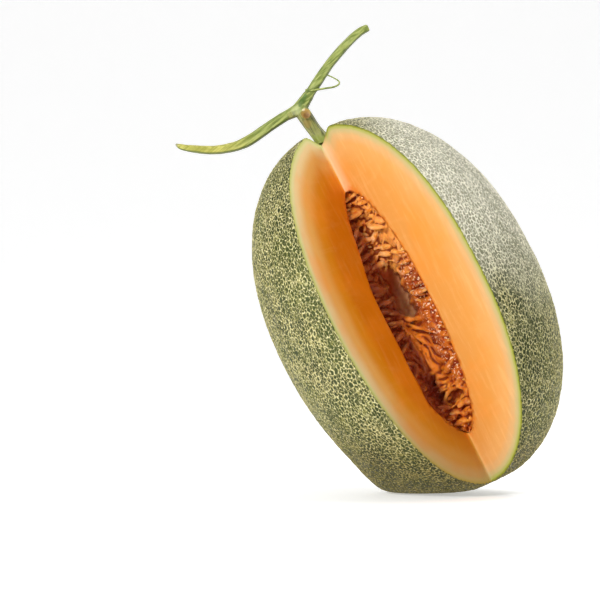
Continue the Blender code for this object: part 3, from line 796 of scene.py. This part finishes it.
def net_cells(count, shift, seed):
    """The net's cells on the unit sphere: corner directions, and each cell's middle and corners in order."""
    hull = bmesh.new()
    for direction in spread_directions(count, shift, seed) * (1, 1, NET_SQUASH):
        hull.verts.new(direction)
    bmesh.ops.convex_hull(hull, input=hull.verts)
    hull.faces.index_update()
    corners = np.array([face.calc_center_median() for face in hull.faces]) / (1, 1, NET_SQUASH)
    corners /= np.linalg.norm(corners, axis=1)[:, None]
    cells = []
    for vert in hull.verts:
        if not vert.link_loops:
            continue
        first = vert.link_loops[0]
        loop, ring = first, []
        while True:
            ring.append(loop.face.index)
            loop = loop.link_loop_prev.link_loop_radial_next
            if loop is first:
                break
        cells.append((np.array((vert.co.x, vert.co.y, vert.co.z / NET_SQUASH)), ring))
    hull.free()
    return corners, cells


def netted_mesh():
    """The closed skin of the whole fruit as (points, faces, how corky each point is)."""
    corners, cells = net_cells(NET_CELLS, NET_SHIFT, NET_SEED)
    draw = np.random.default_rng(NET_SEED)
    by_patch, by_point = NET_UNEVEN
    patchy = np.array([noise.noise(Vector(c) * 6.0) + 0.5 * noise.noise(Vector(c) * 19.0) for c in corners])
    heights = 1.0 + by_patch * patchy + draw.uniform(-by_point, by_point, len(corners))
    heights = NET_HEIGHT * np.clip(heights, 0.35, 1.6)
    middles = np.array([middle for middle, _ in cells])
    pits = np.array([corners[ring].mean(axis=0) for _, ring in cells])
    pits = pits * NET_PIT_PLACE + middles * (1 - NET_PIT_PLACE)
    pits /= np.linalg.norm(pits, axis=1)[:, None]
    points = np.concatenate((skin(corners, heights), skin(pits, np.zeros(len(pits)))))
    corky = np.concatenate((np.ones(len(corners)), np.zeros(len(pits))))
    faces = []
    for number, (_, ring) in enumerate(cells):
        pit = len(corners) + number
        faces += [(here, there, pit) for here, there in zip(ring, [*ring[1:], ring[0]])]
    return points, faces, corky


def cut_sheet(angle):
    """Points of one face of the knife's path, as rows along the axis: from the knife line outward."""
    columns = round(KNIFE_REACH / CUT_GRID)
    rows = round(2 * KNIFE_HALF_HEIGHT / CUT_GRID)
    way = Vector((math.sin(angle), -math.cos(angle), 0))
    side = Vector((way.y, -way.x, 0))
    sheet = []
    for row in range(rows + 1):
        z = (2 * row / rows - 1) * KNIFE_HALF_HEIGHT
        line = []
        for column in range(columns + 1):
            out = KNIFE_REACH * column / columns
            wave = 0.0
            for across, along, turn, deep in CUT_WAVES:
                wave += noise.noise(Vector((out * across, z * along, angle * turn))) * deep
            line.append(KNIFE_LINE + way * out + Vector((0, 0, z)) + side * wave * min(1, out / 0.006))
        sheet.append(line)
    return sheet


def knife():
    """The wedge that was cut out: two faintly wavy faces from the knife line, closed outside the fruit."""
    sheets = (cut_sheet(CUT_RIGHT), cut_sheet(-CUT_LEFT))
    bm = bmesh.new()
    rows, columns = len(sheets[0]), len(sheets[0][0])
    spine = [bm.verts.new(line[0]) for line in sheets[0]]
    sides = []
    for sheet in sheets:
        sides.append([[spine[row]] + [bm.verts.new(p) for p in sheet[row][1:]] for row in range(rows)])
    for net in sides:
        for low, high in zip(net, net[1:]):
            for at in range(columns - 1):
                bm.faces.new((low[at], low[at + 1], high[at + 1], high[at]))
    right, left = sides
    for row in range(rows - 1):
        bm.faces.new((right[row][-1], left[row][-1], left[row + 1][-1], right[row + 1][-1]))
    for row in (0, rows - 1):
        bm.faces.new([*right[row], *reversed(left[row][1:])])
    bmesh.ops.transform(bm, matrix=standing(), verts=bm.verts)
    bmesh.ops.recalc_face_normals(bm, faces=bm.faces)
    return object_of("knife", bm)


def cavity_bulge(direction):
    """How much wider the cavity is in a direction than its plain rounded shape."""
    z = CAVITY_CENTRE.z + CAVITY_HALF_LENGTH * direction.z
    turn = math.degrees(math.atan2(direction.y, direction.x)) % 360
    amount = sum(wider * float(ramp(start, end, z)) for wider, start, end in BULGE_STEPS)
    return 1 + amount * math.exp(-(((turn - BULGE_TURN) / BULGE_SPREAD) ** 2))


def cavity(inset, sides=96, rings=80):
    """The seed cavity, drawn in by an inset."""
    bm = bmesh.new()
    bmesh.ops.create_uvsphere(bm, u_segments=sides, v_segments=rings, radius=1)
    for vert in bm.verts:
        vert.co *= Vector((1, 1, 0)) * (cavity_bulge(vert.co) - 1) + Vector((1, 1, 1))
    across = CAVITY_RADIUS - inset
    size = Matrix.Diagonal((across, across, CAVITY_HALF_LENGTH - inset, 1))
    bmesh.ops.transform(bm, matrix=standing() @ Matrix.Translation(CAVITY_CENTRE) @ size, verts=bm.verts)
    return object_of("cavity", bm)


def fix_cork(mesh, source, source_values, tree):
    """Gives the points that the cuts made the corkiness of the skin where they lie."""
    places = points_of(mesh)
    values = get_values(mesh, "cork")
    outer, inner = np.zeros(len(places), bool), np.zeros(len(places), bool)
    for face in mesh.polygons:
        (inner if face.material_index else outer)[list(face.vertices)] = True
    for number in np.flatnonzero(outer & inner):
        where, _, index, _ = tree.find_nearest(Vector(places[number]))
        corners = list(source.polygons[index].vertices)
        spread = [1 / ((source.vertices[c].co - where).length + 1e-6) for c in corners]
        values[number] = sum(s * source_values[c] for s, c in zip(spread, corners)) / sum(spread)
    set_values(mesh, "cork", values)
    return outer, inner


def mark_cut_edges(mesh):
    """Makes the edges sharp where rind meets flesh, and shades all the rest smooth."""
    mesh.shade_smooth()
    bm = opened(mesh)
    for edge in bm.edges:
        if len({face.material_index for face in edge.link_faces}) > 1:
            edge.smooth = False
    stored(bm, mesh)


def make_fruit():
    points, faces, corky = netted_mesh()
    mesh = mesh_of("fruit", settled(in_world(points)), faces)
    facing_out(mesh)
    set_values(mesh, "cork", corky)
    source, whole = mesh.copy(), opened(mesh)
    tree = BVHTree.FromBMesh(whole)
    whole.free()
    mesh.materials.append(rind_material())
    flesh = flesh_material()
    fruit = new_object("fruit", mesh)
    for cutter in (knife(), cavity(0)):
        cutter.data.materials.append(flesh)
        cut(fruit, cutter)
    outer, inner = fix_cork(fruit.data, source, corky, tree)
    places = points_of(fruit.data)
    depth = np.zeros(len(places))
    for number in np.flatnonzero(inner & ~outer):
        depth[number] = tree.find_nearest(Vector(places[number]))[3]
    set_values(fruit.data, "depth", depth)
    mark_cut_edges(fruit.data)
    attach(fruit, "root")
    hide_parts("melon_fruit")


def placed(route):
    """A route's points, moved from the fruit's middle to the world."""
    return [CENTRE + Vector(point) for point in route]


def smooth_route(points, steps):
    """Points on a smooth curve through a route's points, with so many steps between each two."""
    points = [Vector(p) for p in points]
    found = []
    for index in range(len(points) - 1):
        before = points[max(index - 1, 0)]
        here, there = points[index], points[index + 1]
        after = points[min(index + 2, len(points) - 1)]
        for step in range(steps):
            t = step / steps
            pull = (there - before) * t + (2 * before - 5 * here + 4 * there - after) * t * t
            pull += (3 * here - before - 3 * there + after) * t * t * t
            found.append(here + pull * 0.5)
    return [*found, points[-1]]


def smooth_radii(radii, steps):
    """Radii at the points that smooth_route makes."""
    found = []
    for here, there in zip(radii, radii[1:]):
        found += [here + (there - here) * ramp(0, 1, step / steps) for step in range(steps)]
    return [*found, radii[-1]]


def tube(bm, route, radii, sides, ridge=0.0, ends=(0.5, 0.5)):
    """Adds a closed tube along a route, with five ridges, and its ends domed by shares of the radius."""
    side_way = Vector((0, 1, 0))
    loops = []
    last = len(route) - 1
    for index, point in enumerate(route):
        ahead = (route[min(index + 1, last)] - route[max(index - 1, 0)]).normalized()
        side_way = (side_way - ahead * side_way.dot(ahead)).normalized()
        up = ahead.cross(side_way)
        loop = []
        for side in range(sides):
            turn = 2 * math.pi * side / sides
            lobe = math.cos(5 * turn)
            uneven = noise.noise(point * 300 + Vector((turn * 0.4, 0, 0))) * 0.05
            way = side_way * math.cos(turn) + up * math.sin(turn)
            loop.append(bm.verts.new(point + way * radii[index] * (1 + ridge * lobe + uneven)))
        loops.append(loop)
        if index in (0, last):
            out = ahead * (-radii[index] if index == 0 else radii[index])
            middle = bm.verts.new(point + out * ends[0 if index == 0 else 1])
            for side in range(sides):
                bm.faces.new((loop[side], loop[(side + 1) % sides], middle))
    for near, far in zip(loops, loops[1:]):
        for side in range(sides):
            after = (side + 1) % sides
            bm.faces.new((near[side], near[after], far[after], far[side]))
    bmesh.ops.recalc_face_normals(bm, faces=bm.faces)


def shoot(bm, route, radii, steps, sides, ridge=0.0, ends=(0.5, 0.5)):
    """Adds a smooth tube through a route's points."""
    tube(bm, smooth_route(route, steps), smooth_radii(radii, steps), sides, ridge, ends)


def remeshed(obj, voxel, smoothing, factor=0.5):
    """Joins the overlapping shells of an object into one even skin, then smooths it."""
    modifier = obj.modifiers.new("skin", "REMESH")
    modifier.mode = "VOXEL"
    modifier.voxel_size = voxel
    modifier.use_smooth_shade = True
    smooth = obj.modifiers.new("smooth", "SMOOTH")
    smooth.factor = factor
    smooth.iterations = smoothing
    apply_modifiers(obj)


def stalk_route():
    """The stalk's points, from its foot in the basin to the vine."""
    foot = HALF_LENGTH - BASIN_DEPTH + FOOT_GAP
    start = [standing() @ Vector((0, 0, foot + rise)) for rise in (0.0012, FOOT_RISE)]
    return (*start, *placed(STALK_ROUTE))


def relax_near(mesh, places, reach, rounds):
    """Smooths a mesh round some places only, as where two shoots grow together."""
    bm = opened(mesh)
    near = [v for v in bm.verts if min((v.co - p).length for p in places) < reach]
    for _ in range(rounds):
        bmesh.ops.smooth_vert(bm, verts=near, factor=0.5, use_axis_x=True, use_axis_y=True, use_axis_z=True)
    stored(bm, mesh)


def make_stem():
    bm = bmesh.new()
    shoot(bm, placed(VINE_ROUTE), VINE_RADII, 5, 40, 0.085, (0.6, 0.05))
    shoot(bm, stalk_route(), STALK_RADII, 5, 40, 0.07, (0.1, 0.3))
    shoot(bm, placed(STUB_ROUTE), STUB_RADII, 5, 30, 0.03, (0.1, -0.35))
    stem = object_of("stem", bm)
    remeshed(stem, STEM_VOXEL, 2)
    relax_near(stem.data, placed(FORK_PLACES), FORK_REACH, 6)
    bm = bmesh.new()
    shoot(bm, placed(TENDRIL_ROUTE), TENDRIL_RADII, 8, 12)
    cut(stem, object_of("tendril", bm), "UNION")
    stem.data.materials.clear()
    stem.data.materials.append(stem_material())
    stem.data.shade_smooth()
    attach(stem, "root")
    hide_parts("vine_stem")


def hollow_depth(x, z):
    """How far the hollows sink the pulp's face, at places across and along the pulp."""
    x = x + 0.0011 * np.sin(z * 640 + 1.0) + 0.0006 * np.sin(z * 1730)
    z = z + 0.0010 * np.sin(x * 900 + 2.0)
    return sum(
        depth * np.exp(-(((x - px) / wide) ** 4) - ((z - pz) / long) ** 4)
        for px, pz, wide, long, depth in HOLLOWS
    )


def fan_share(x, z):
    """How much of the fan of strands below the hollow is there, and the angle and reach from its root."""
    angle = np.arctan2(z - FAN_ROOT[1], x - FAN_ROOT[0])
    reach = np.hypot(z - FAN_ROOT[1], x - FAN_ROOT[0])
    first, last = FAN_ANGLES
    share = ramp(first - 0.15, first + 0.1, angle) * ramp(last + 0.15, last - 0.1, angle)
    share = share * ramp(FAN_REACH, FAN_REACH * 0.8, reach) * ramp(FAN_EDGE + 0.0015, FAN_EDGE - 0.0015, x)
    return share, angle, reach


def folds(x, z):
    """Strands and folds of pulp, about 1 at their crests: long along their run and narrow across it."""
    found = []
    for px, pz in zip(x.ravel(), z.ravel()):
        bend = noise.noise(Vector((px * 60, pz * 40, 3.1)))
        run = math.radians(58 + 50 * bend)
        a = px * math.cos(run) + pz * math.sin(run)
        b = -px * math.sin(run) + pz * math.cos(run)
        fold = 1 - 2.2 * abs(noise.noise(Vector((a * 90, b * 300, 7.7))))
        lump = noise.noise(Vector((px * 330, pz * 330, 1.9)))
        found.append(0.75 * fold + 0.45 * lump)
    found = np.array(found).reshape(x.shape)
    share, angle, reach = fan_share(x, z)
    strands = []
    for turn, out in zip(angle.ravel(), reach.ravel()):
        sway = 0.25 * noise.noise(Vector((out * 90, turn * 1.5, 5.2)))
        strands.append(1.15 - 3.2 * abs(noise.noise(Vector(((turn + sway) * 5.2, out * 30, 2.2)))))
    return found * (1 - share) + np.array(strands).reshape(x.shape) * share


def behind_cut(x, z):
    """How far behind the cuts the pulp's open face lies: less towards the right edge and in the fan."""
    rise = PULP_RISE_RIGHT * ramp(0.003, 0.010, x - KNIFE_LINE.x)
    return PULP_BEHIND_CUT - rise - PULP_RISE_FAN * fan_share(x, z)[0]


def cut_level(x):
    """The y of the cut faces at a place across, bent softly at the knife line."""
    past = x - KNIFE_LINE.x
    slope = np.where(past > 0, 1 / math.tan(CUT_RIGHT), 1 / math.tan(CUT_LEFT))
    return KNIFE_LINE.y - (np.hypot(past, PULP_BEND) - PULP_BEND) * slope


def trough():
    """The space in front of the pulp's open face, as a closed block with that face as its back."""
    columns = round(2 * CAVITY_RADIUS * 1.2 / PULP_GRID)
    rows = round(2 * CAVITY_HALF_LENGTH * 1.1 / PULP_GRID)
    xs = CAVITY_CENTRE.x + (np.arange(columns + 1) - columns / 2) * PULP_GRID
    zs = CAVITY_CENTRE.z + (np.arange(rows + 1) - rows / 2) * PULP_GRID
    x, z = np.meshgrid(xs, zs)
    quiet = 1 - 0.8 * np.clip(hollow_depth(x, z) / 0.012, 0, 1)
    y = cut_level(x) + behind_cut(x, z) + hollow_depth(x, z) - PULP_FOLD * folds(x, z) * quiet
    back = np.stack((x, y, z), axis=-1).reshape(-1, 3)
    front = back.copy()
    front[:, 1] = CAVITY_CENTRE.y - 3 * CAVITY_RADIUS
    wide, total = columns + 1, len(back)
    faces = []
    for row in range(rows):
        for column in range(columns):
            at = row * wide + column
            square = (at, at + 1, at + wide + 1, at + wide)
            faces += [square, tuple(total + i for i in reversed(square))]
    rim = [*range(wide), *range(2 * wide - 1, total, wide)]
    rim += [*range(total - 2, total - wide - 1, -1), *range(total - 2 * wide, 0, -wide)]
    for here, there in zip(rim, [*rim[1:], rim[0]]):
        faces.append((there, here, total + here, total + there))
    mesh = mesh_of("trough", in_world(np.concatenate((back, front))), faces)
    facing_out(mesh)
    return new_object("trough", mesh)


def seed_shape(rings=9, sides=12):
    """Points and faces of one seed along X, flat along Z: drop-shaped, with its blunt end at +X."""
    points, faces = [(-0.5 * SEED_LENGTH, 0.0, 0.0)], []
    for ring in range(1, rings):
        t = ring / rings
        t = t * t * (3 - 2 * t)
        bulk = math.sin(math.pi * t**1.25) ** 0.6 * SEED_LENGTH
        for side in range(sides):
            turn = 2 * math.pi * side / sides
            across = math.copysign(abs(math.cos(turn)) ** 0.85, math.cos(turn)) * SEED_HALF_WIDTH * bulk
            points.append(((t - 0.5) * SEED_LENGTH, across, math.sin(turn) * SEED_HALF_THICKNESS * bulk))
    points.append((0.5 * SEED_LENGTH, 0.0, 0.0))
    last = len(points) - 1
    for side in range(sides):
        after = (side + 1) % sides
        faces.append((0, 1 + after, 1 + side))
        faces.append((last, last - sides + side, last - sides + after))
        for ring in range(rings - 2):
            near, far = 1 + ring * sides, 1 + (ring + 1) * sides
            faces.append((near + side, near + after, far + after, far + side))
    return np.array(points), faces


def cavity_place(draw, along, inner, outer):
    """A random place across and along the pulp, with its side: 1 right of the knife line, -1 left of it."""
    z = CAVITY_CENTRE.z + CAVITY_HALF_LENGTH * draw.uniform(-along, along)
    room = math.sqrt(1 - ((z - CAVITY_CENTRE.z) / CAVITY_HALF_LENGTH) ** 2)
    side = 1 if draw.random() < RIGHT_SHARE else -1
    reach = (REACH_RIGHT if side > 0 else REACH_LEFT) * room * draw.uniform(inner(z), outer)
    return KNIFE_LINE.x + side * reach, z, side


def kept_bare(places):
    """How much a hollow or the fan takes up at the worst of some places across and along."""
    return max(max(hollow_depth(x, z) / HOLLOW_DEPTH, fan_share(x, z)[0]) for x, z in places)


def seed_places():
    """Where the seeds lie: middle, turn and outward way of each, in uneven rows with their tips outward."""
    draw = np.random.default_rng(SEED_DRAW)
    taken, places = [], []
    for _ in range(SEED_TRIES):
        x, z, _ = cavity_place(draw, 0.95, lambda z: 0.1 if z > 0.030 else 0.45, 1.08)
        if any(math.hypot(x - a, (z - b) * 1.7) < SEED_SPACING for a, b in taken):
            continue
        level = cut_level(x)
        radial = Vector((x - CAVITY_CENTRE.x, level - CAVITY_CENTRE.y, 0)).normalized()
        loose = 0.8 if z > 0.034 else 0.58
        stray = Vector([draw.uniform(-loose, loose) for _ in range(3)])
        along = (radial + stray).normalized()
        flat = Vector((draw.uniform(-0.4, 0.4), draw.uniform(-0.4, 0.4), 1))
        flat += Vector((0, -1, 0)) * draw.uniform(0, loose)
        across = flat.cross(along).normalized()
        flat = along.cross(across)
        size = draw.uniform(0.78, 1.10)
        sunk = behind_cut(x, z) + draw.uniform(-0.0014, 0.0012)
        tip = Vector((x, level + sunk, z))
        centre = tip - along * SEED_LENGTH * 0.46
        tail = tip - along * SEED_LENGTH * 0.9
        if kept_bare([(p.x, p.z) for p in (tip, centre, tail)]) > 0.1:
            continue
        turn = Matrix((along * size, across * size, flat * size)).transposed()
        taken.append((x, z))
        places.append((centre, turn, along))
    return places


def inside_cavity(points, inset):
    away = points - np.array(CAVITY_CENTRE)
    radii = np.array((CAVITY_RADIUS, CAVITY_RADIUS, CAVITY_HALF_LENGTH)) - inset
    radii[:2] *= cavity_bulge(Vector(away.mean(axis=0) / radii))
    return ((away / radii) ** 2).sum(axis=1) < 1


def before_cuts(points):
    """How far points stand out of the two cut faces, towards the missing wedge."""
    away = points - np.array(KNIFE_LINE)
    right = away[:, 0] * -math.cos(CUT_RIGHT) - away[:, 1] * math.sin(CUT_RIGHT)
    left = away[:, 0] * math.cos(CUT_LEFT) - away[:, 1] * math.sin(CUT_LEFT)
    return np.minimum(right, left)


def many(name, shapes):
    """One mesh object from many (points, faces) pairs given in the fruit's frame."""
    points, faces, start = [], [], 0
    for part, part_faces in shapes:
        points.append(part)
        faces += [tuple(start + i for i in face) for face in part_faces]
        start += len(part)
    return new_object(name, mesh_of(name, in_world(np.concatenate(points)), faces))


def wisps():
    """Short strands of pulp in between and over the seeds, each as (points, radius)."""
    draw = np.random.default_rng(SEED_DRAW + 2)
    found = []
    while len(found) < WISP_COUNT:
        x, z, side = cavity_place(draw, 0.93, lambda z: 0.3, 1.1)
        run = draw.uniform(0.003, 0.0075)
        turn = draw.uniform(-1.1, 1.1)
        places = ((x, z), (x - side * run * math.cos(turn), z + run * math.sin(turn) - 0.001))
        if kept_bare(places) > 0.05:
            continue
        ends = [Vector((a, cut_level(a) + behind_cut(a, b) + 0.0012, b)) for a, b in places]
        bulge = Vector((0, -draw.uniform(0.0018, 0.0042), draw.uniform(-0.0012, 0.0012)))
        curve = smooth_route((ends[0], (ends[0] + ends[1]) / 2 + bulge, ends[1]), 5)
        found.append((curve, draw.uniform(0.0005, 0.0011)))
    return found


def strand_tubes():
    bm = bmesh.new()
    for *route, radius, proud in STRANDS:
        curve = []
        for place, (x, z) in enumerate(route):
            raised = 0.55 * proud if place in (1, 2) else 0.0
            curve.append(Vector((x, cut_level(x) + behind_cut(x, z) + 0.0010 - raised, z)))
        curve = smooth_route(curve, 8)
        tube(bm, curve, [1.35 * radius * (0.9 + 0.6 * noise.noise(p * 260)) for p in curve], 10)
    for curve, radius in wisps():
        tube(bm, curve, [radius * (0.7 + 0.6 * noise.noise(p * 400)) for p in curve], 8)
    bmesh.ops.transform(bm, matrix=standing(), verts=bm.verts)
    return object_of("strands", bm)


def ball_shape(radii, rings=6, sides=8):
    """Points and faces of a ball with a radius for each axis."""
    bm = bmesh.new()
    bmesh.ops.create_uvsphere(bm, u_segments=sides, v_segments=rings, radius=1)
    points = np.array([tuple(v.co) for v in bm.verts]) * radii
    faces = [tuple(v.index for v in f.verts) for f in bm.faces]
    bm.free()
    return points, faces


def join_meshes(first, others):
    """Puts the meshes of other objects into the first one as they are, and removes the others."""
    bm = bmesh.new()
    for obj in (first, *others):
        bm.from_mesh(obj.data)
    stored(bm, first.data)
    for obj in others:
        bpy.data.objects.remove(obj)


def creases(mesh, rounds):
    """How far each point lies in a crease of its surface, in mm, and below zero on a crest."""
    points = points_of(mesh)
    ends = np.empty(len(mesh.edges) * 2, np.int32)
    mesh.edges.foreach_get("vertices", ends)
    ends = ends.reshape(-1, 2)
    count = np.maximum(np.bincount(ends.ravel(), minlength=len(points)), 1)
    smooth = points.copy()
    for _ in range(rounds):
        total = np.zeros_like(points)
        for near, far in ((0, 1), (1, 0)):
            for axis in range(3):
                total[:, axis] += np.bincount(ends[:, near], smooth[ends[:, far], axis], len(points))
        smooth = total / count[:, None]
    return ((smooth - points) * points_of(mesh, "normal")).sum(axis=1) * 1000


def keep_largest(mesh):
    """Removes loose crumbs from a mesh."""
    bm = opened(mesh)
    left, largest, crumbs = set(bm.verts), [], []
    while left:
        waiting, shell = [left.pop()], []
        while waiting:
            vert = waiting.pop()
            shell.append(vert)
            for edge in vert.link_edges:
                other = edge.other_vert(vert)
                if other in left:
                    left.remove(other)
                    waiting.append(other)
        if len(shell) > len(largest):
            crumbs += largest
            largest = shell
        else:
            crumbs += shell
    bmesh.ops.delete(bm, geom=crumbs, context="VERTS")
    stored(bm, mesh)


def settle_seed(shape, centre, turn):
    """A seed's points and middle, moved inward until cavity and cuts leave it room, or None if they don't."""
    for _ in range(6):
        points = shape @ turn.T + np.array(centre)
        if inside_cavity(points, 0.0006).all() and before_cuts(points).max() < SEED_STANDS_OUT:
            return points, centre
        centre = centre + ((CAVITY_CENTRE - centre) * Vector((1, 1, 0))).normalized() * 0.0006
    return None


def make_seeds_and_pulp():
    """The seeds, and the pulp with a coat of its own round each seed."""
    shape, faces = seed_shape()
    coat_shape, coat_faces = ball_shape(SEED_COAT)
    draw = np.random.default_rng(SEED_DRAW + 1)
    shapes, coats = [], []
    for centre, turn, out in seed_places():
        turn = np.array(turn)
        fitted = settle_seed(shape, centre, turn)
        if not fitted:
            continue
        points, centre = fitted
        shapes.append((points, faces))
        sunk = centre - out * draw.uniform(0.0002, 0.0018)
        coats.append((coat_shape * draw.uniform(0.9, 1.22) @ turn.T + np.array(sunk), coat_faces))
    seeds = many("seeds", shapes)
    facing_out(seeds.data)
    set_values(seeds.data, "tint", np.repeat(draw.random(len(shapes)), len(shape)))
    pulp = cavity(-PULP_SPARE)
    pulp.name = "pulp"
    cut(pulp, trough())
    join_meshes(pulp, [many("coats", coats), strand_tubes()])
    remeshed(pulp, PULP_VOXEL, 2, 0.4)
    cut(pulp, cavity(PULP_GAP), "INTERSECT")
    keep_largest(pulp.data)
    set_values(pulp.data, "crease", creases(pulp.data, CREASE_ROUNDS))
    for piece, material in ((pulp, pulp_material()), (seeds, seed_material())):
        set_values(piece.data, "sunk", -before_cuts(in_fruit(points_of(piece.data))))
        piece.data.materials.clear()
        piece.data.materials.append(material)
        piece.data.shade_smooth()
        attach(piece, "root")
        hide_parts("seed_pulp")


def make_stage():
    """A floor that rises behind the fruit in one smooth curve, pale and plain, in a white world."""
    profile = [(-BACKDROP_REACH, 0.0), (BACKDROP_BEND, 0.0)]
    for step in range(1, BACKDROP_STEPS + 1):
        angle = math.pi / 2 * step / BACKDROP_STEPS
        rise = BACKDROP_CURVE * (1 - math.cos(angle))
        profile.append((BACKDROP_BEND + BACKDROP_CURVE * math.sin(angle), rise))
    profile.append((profile[-1][0], BACKDROP_HEIGHT))
    points = [(x, y, z) for y, z in profile for x in (-BACKDROP_REACH, BACKDROP_REACH)]
    faces = [(2 * i, 2 * i + 1, 2 * i + 3, 2 * i + 2) for i in range(len(profile) - 1)]
    floor = new_object("floor", mesh_of("floor", points, faces))
    floor.data.shade_smooth()
    n = Nodes("floor_pale")
    faint = tuple(c * 0.985 for c in BACKDROP_COLOUR)
    n.finish(colour=n.mix(n.noise(n.world(), 35, 3), faint, BACKDROP_COLOUR), roughness=0.6)
    n.shader.inputs["Emission Color"].default_value = (1, 1, 1, 1)
    n.shader.inputs["Emission Strength"].default_value = BACKDROP_GLOW
    floor.data.materials.append(n.material)
    world = bpy.data.worlds.new("studio")
    bpy.context.scene.world = world
    world.use_nodes = True
    background = world.node_tree.nodes["Background"]
    background.inputs["Color"].default_value = (1, 1, 1, 1)
    background.inputs["Strength"].default_value = STUDIO_LIGHT


def make_lights():
    for name, place, width, power in LIGHTS:
        light = bpy.data.lights.new(name, "AREA")
        light.shape = "RECTANGLE"
        light.size = light.size_y = width
        light.energy = power
        lamp = new_object(name, light)
        lamp.location = place
        lamp.rotation_euler = (Vector(LIGHTS_AIM) - Vector(place)).to_track_quat("-Z", "Y").to_euler()


def make_camera():
    camera = bpy.data.cameras.new("camera")
    camera.sensor_width = camera.sensor_height = CAMERA_SENSOR
    camera.sensor_fit = "HORIZONTAL"
    camera.lens = CAMERA_DISTANCE / FRAME_WIDTH * CAMERA_SENSOR
    camera.shift_x = 0.5 - FRAME_PLACE[0]
    camera.shift_y = FRAME_PLACE[1] - 0.5
    camera.clip_start, camera.clip_end = 0.05, 30
    eye = new_object("camera", camera)
    way = Vector((0, -math.cos(CAMERA_RISE), math.sin(CAMERA_RISE)))
    eye.location = CENTRE + way * CAMERA_DISTANCE
    eye.rotation_euler = (-way).to_track_quat("-Z", "Y").to_euler()
    bpy.context.scene.camera = eye


make_fruit()
make_stem()
make_seeds_and_pulp()
make_stage()
make_lights()
make_camera()
bpy.context.scene.view_settings.view_transform = "Standard"
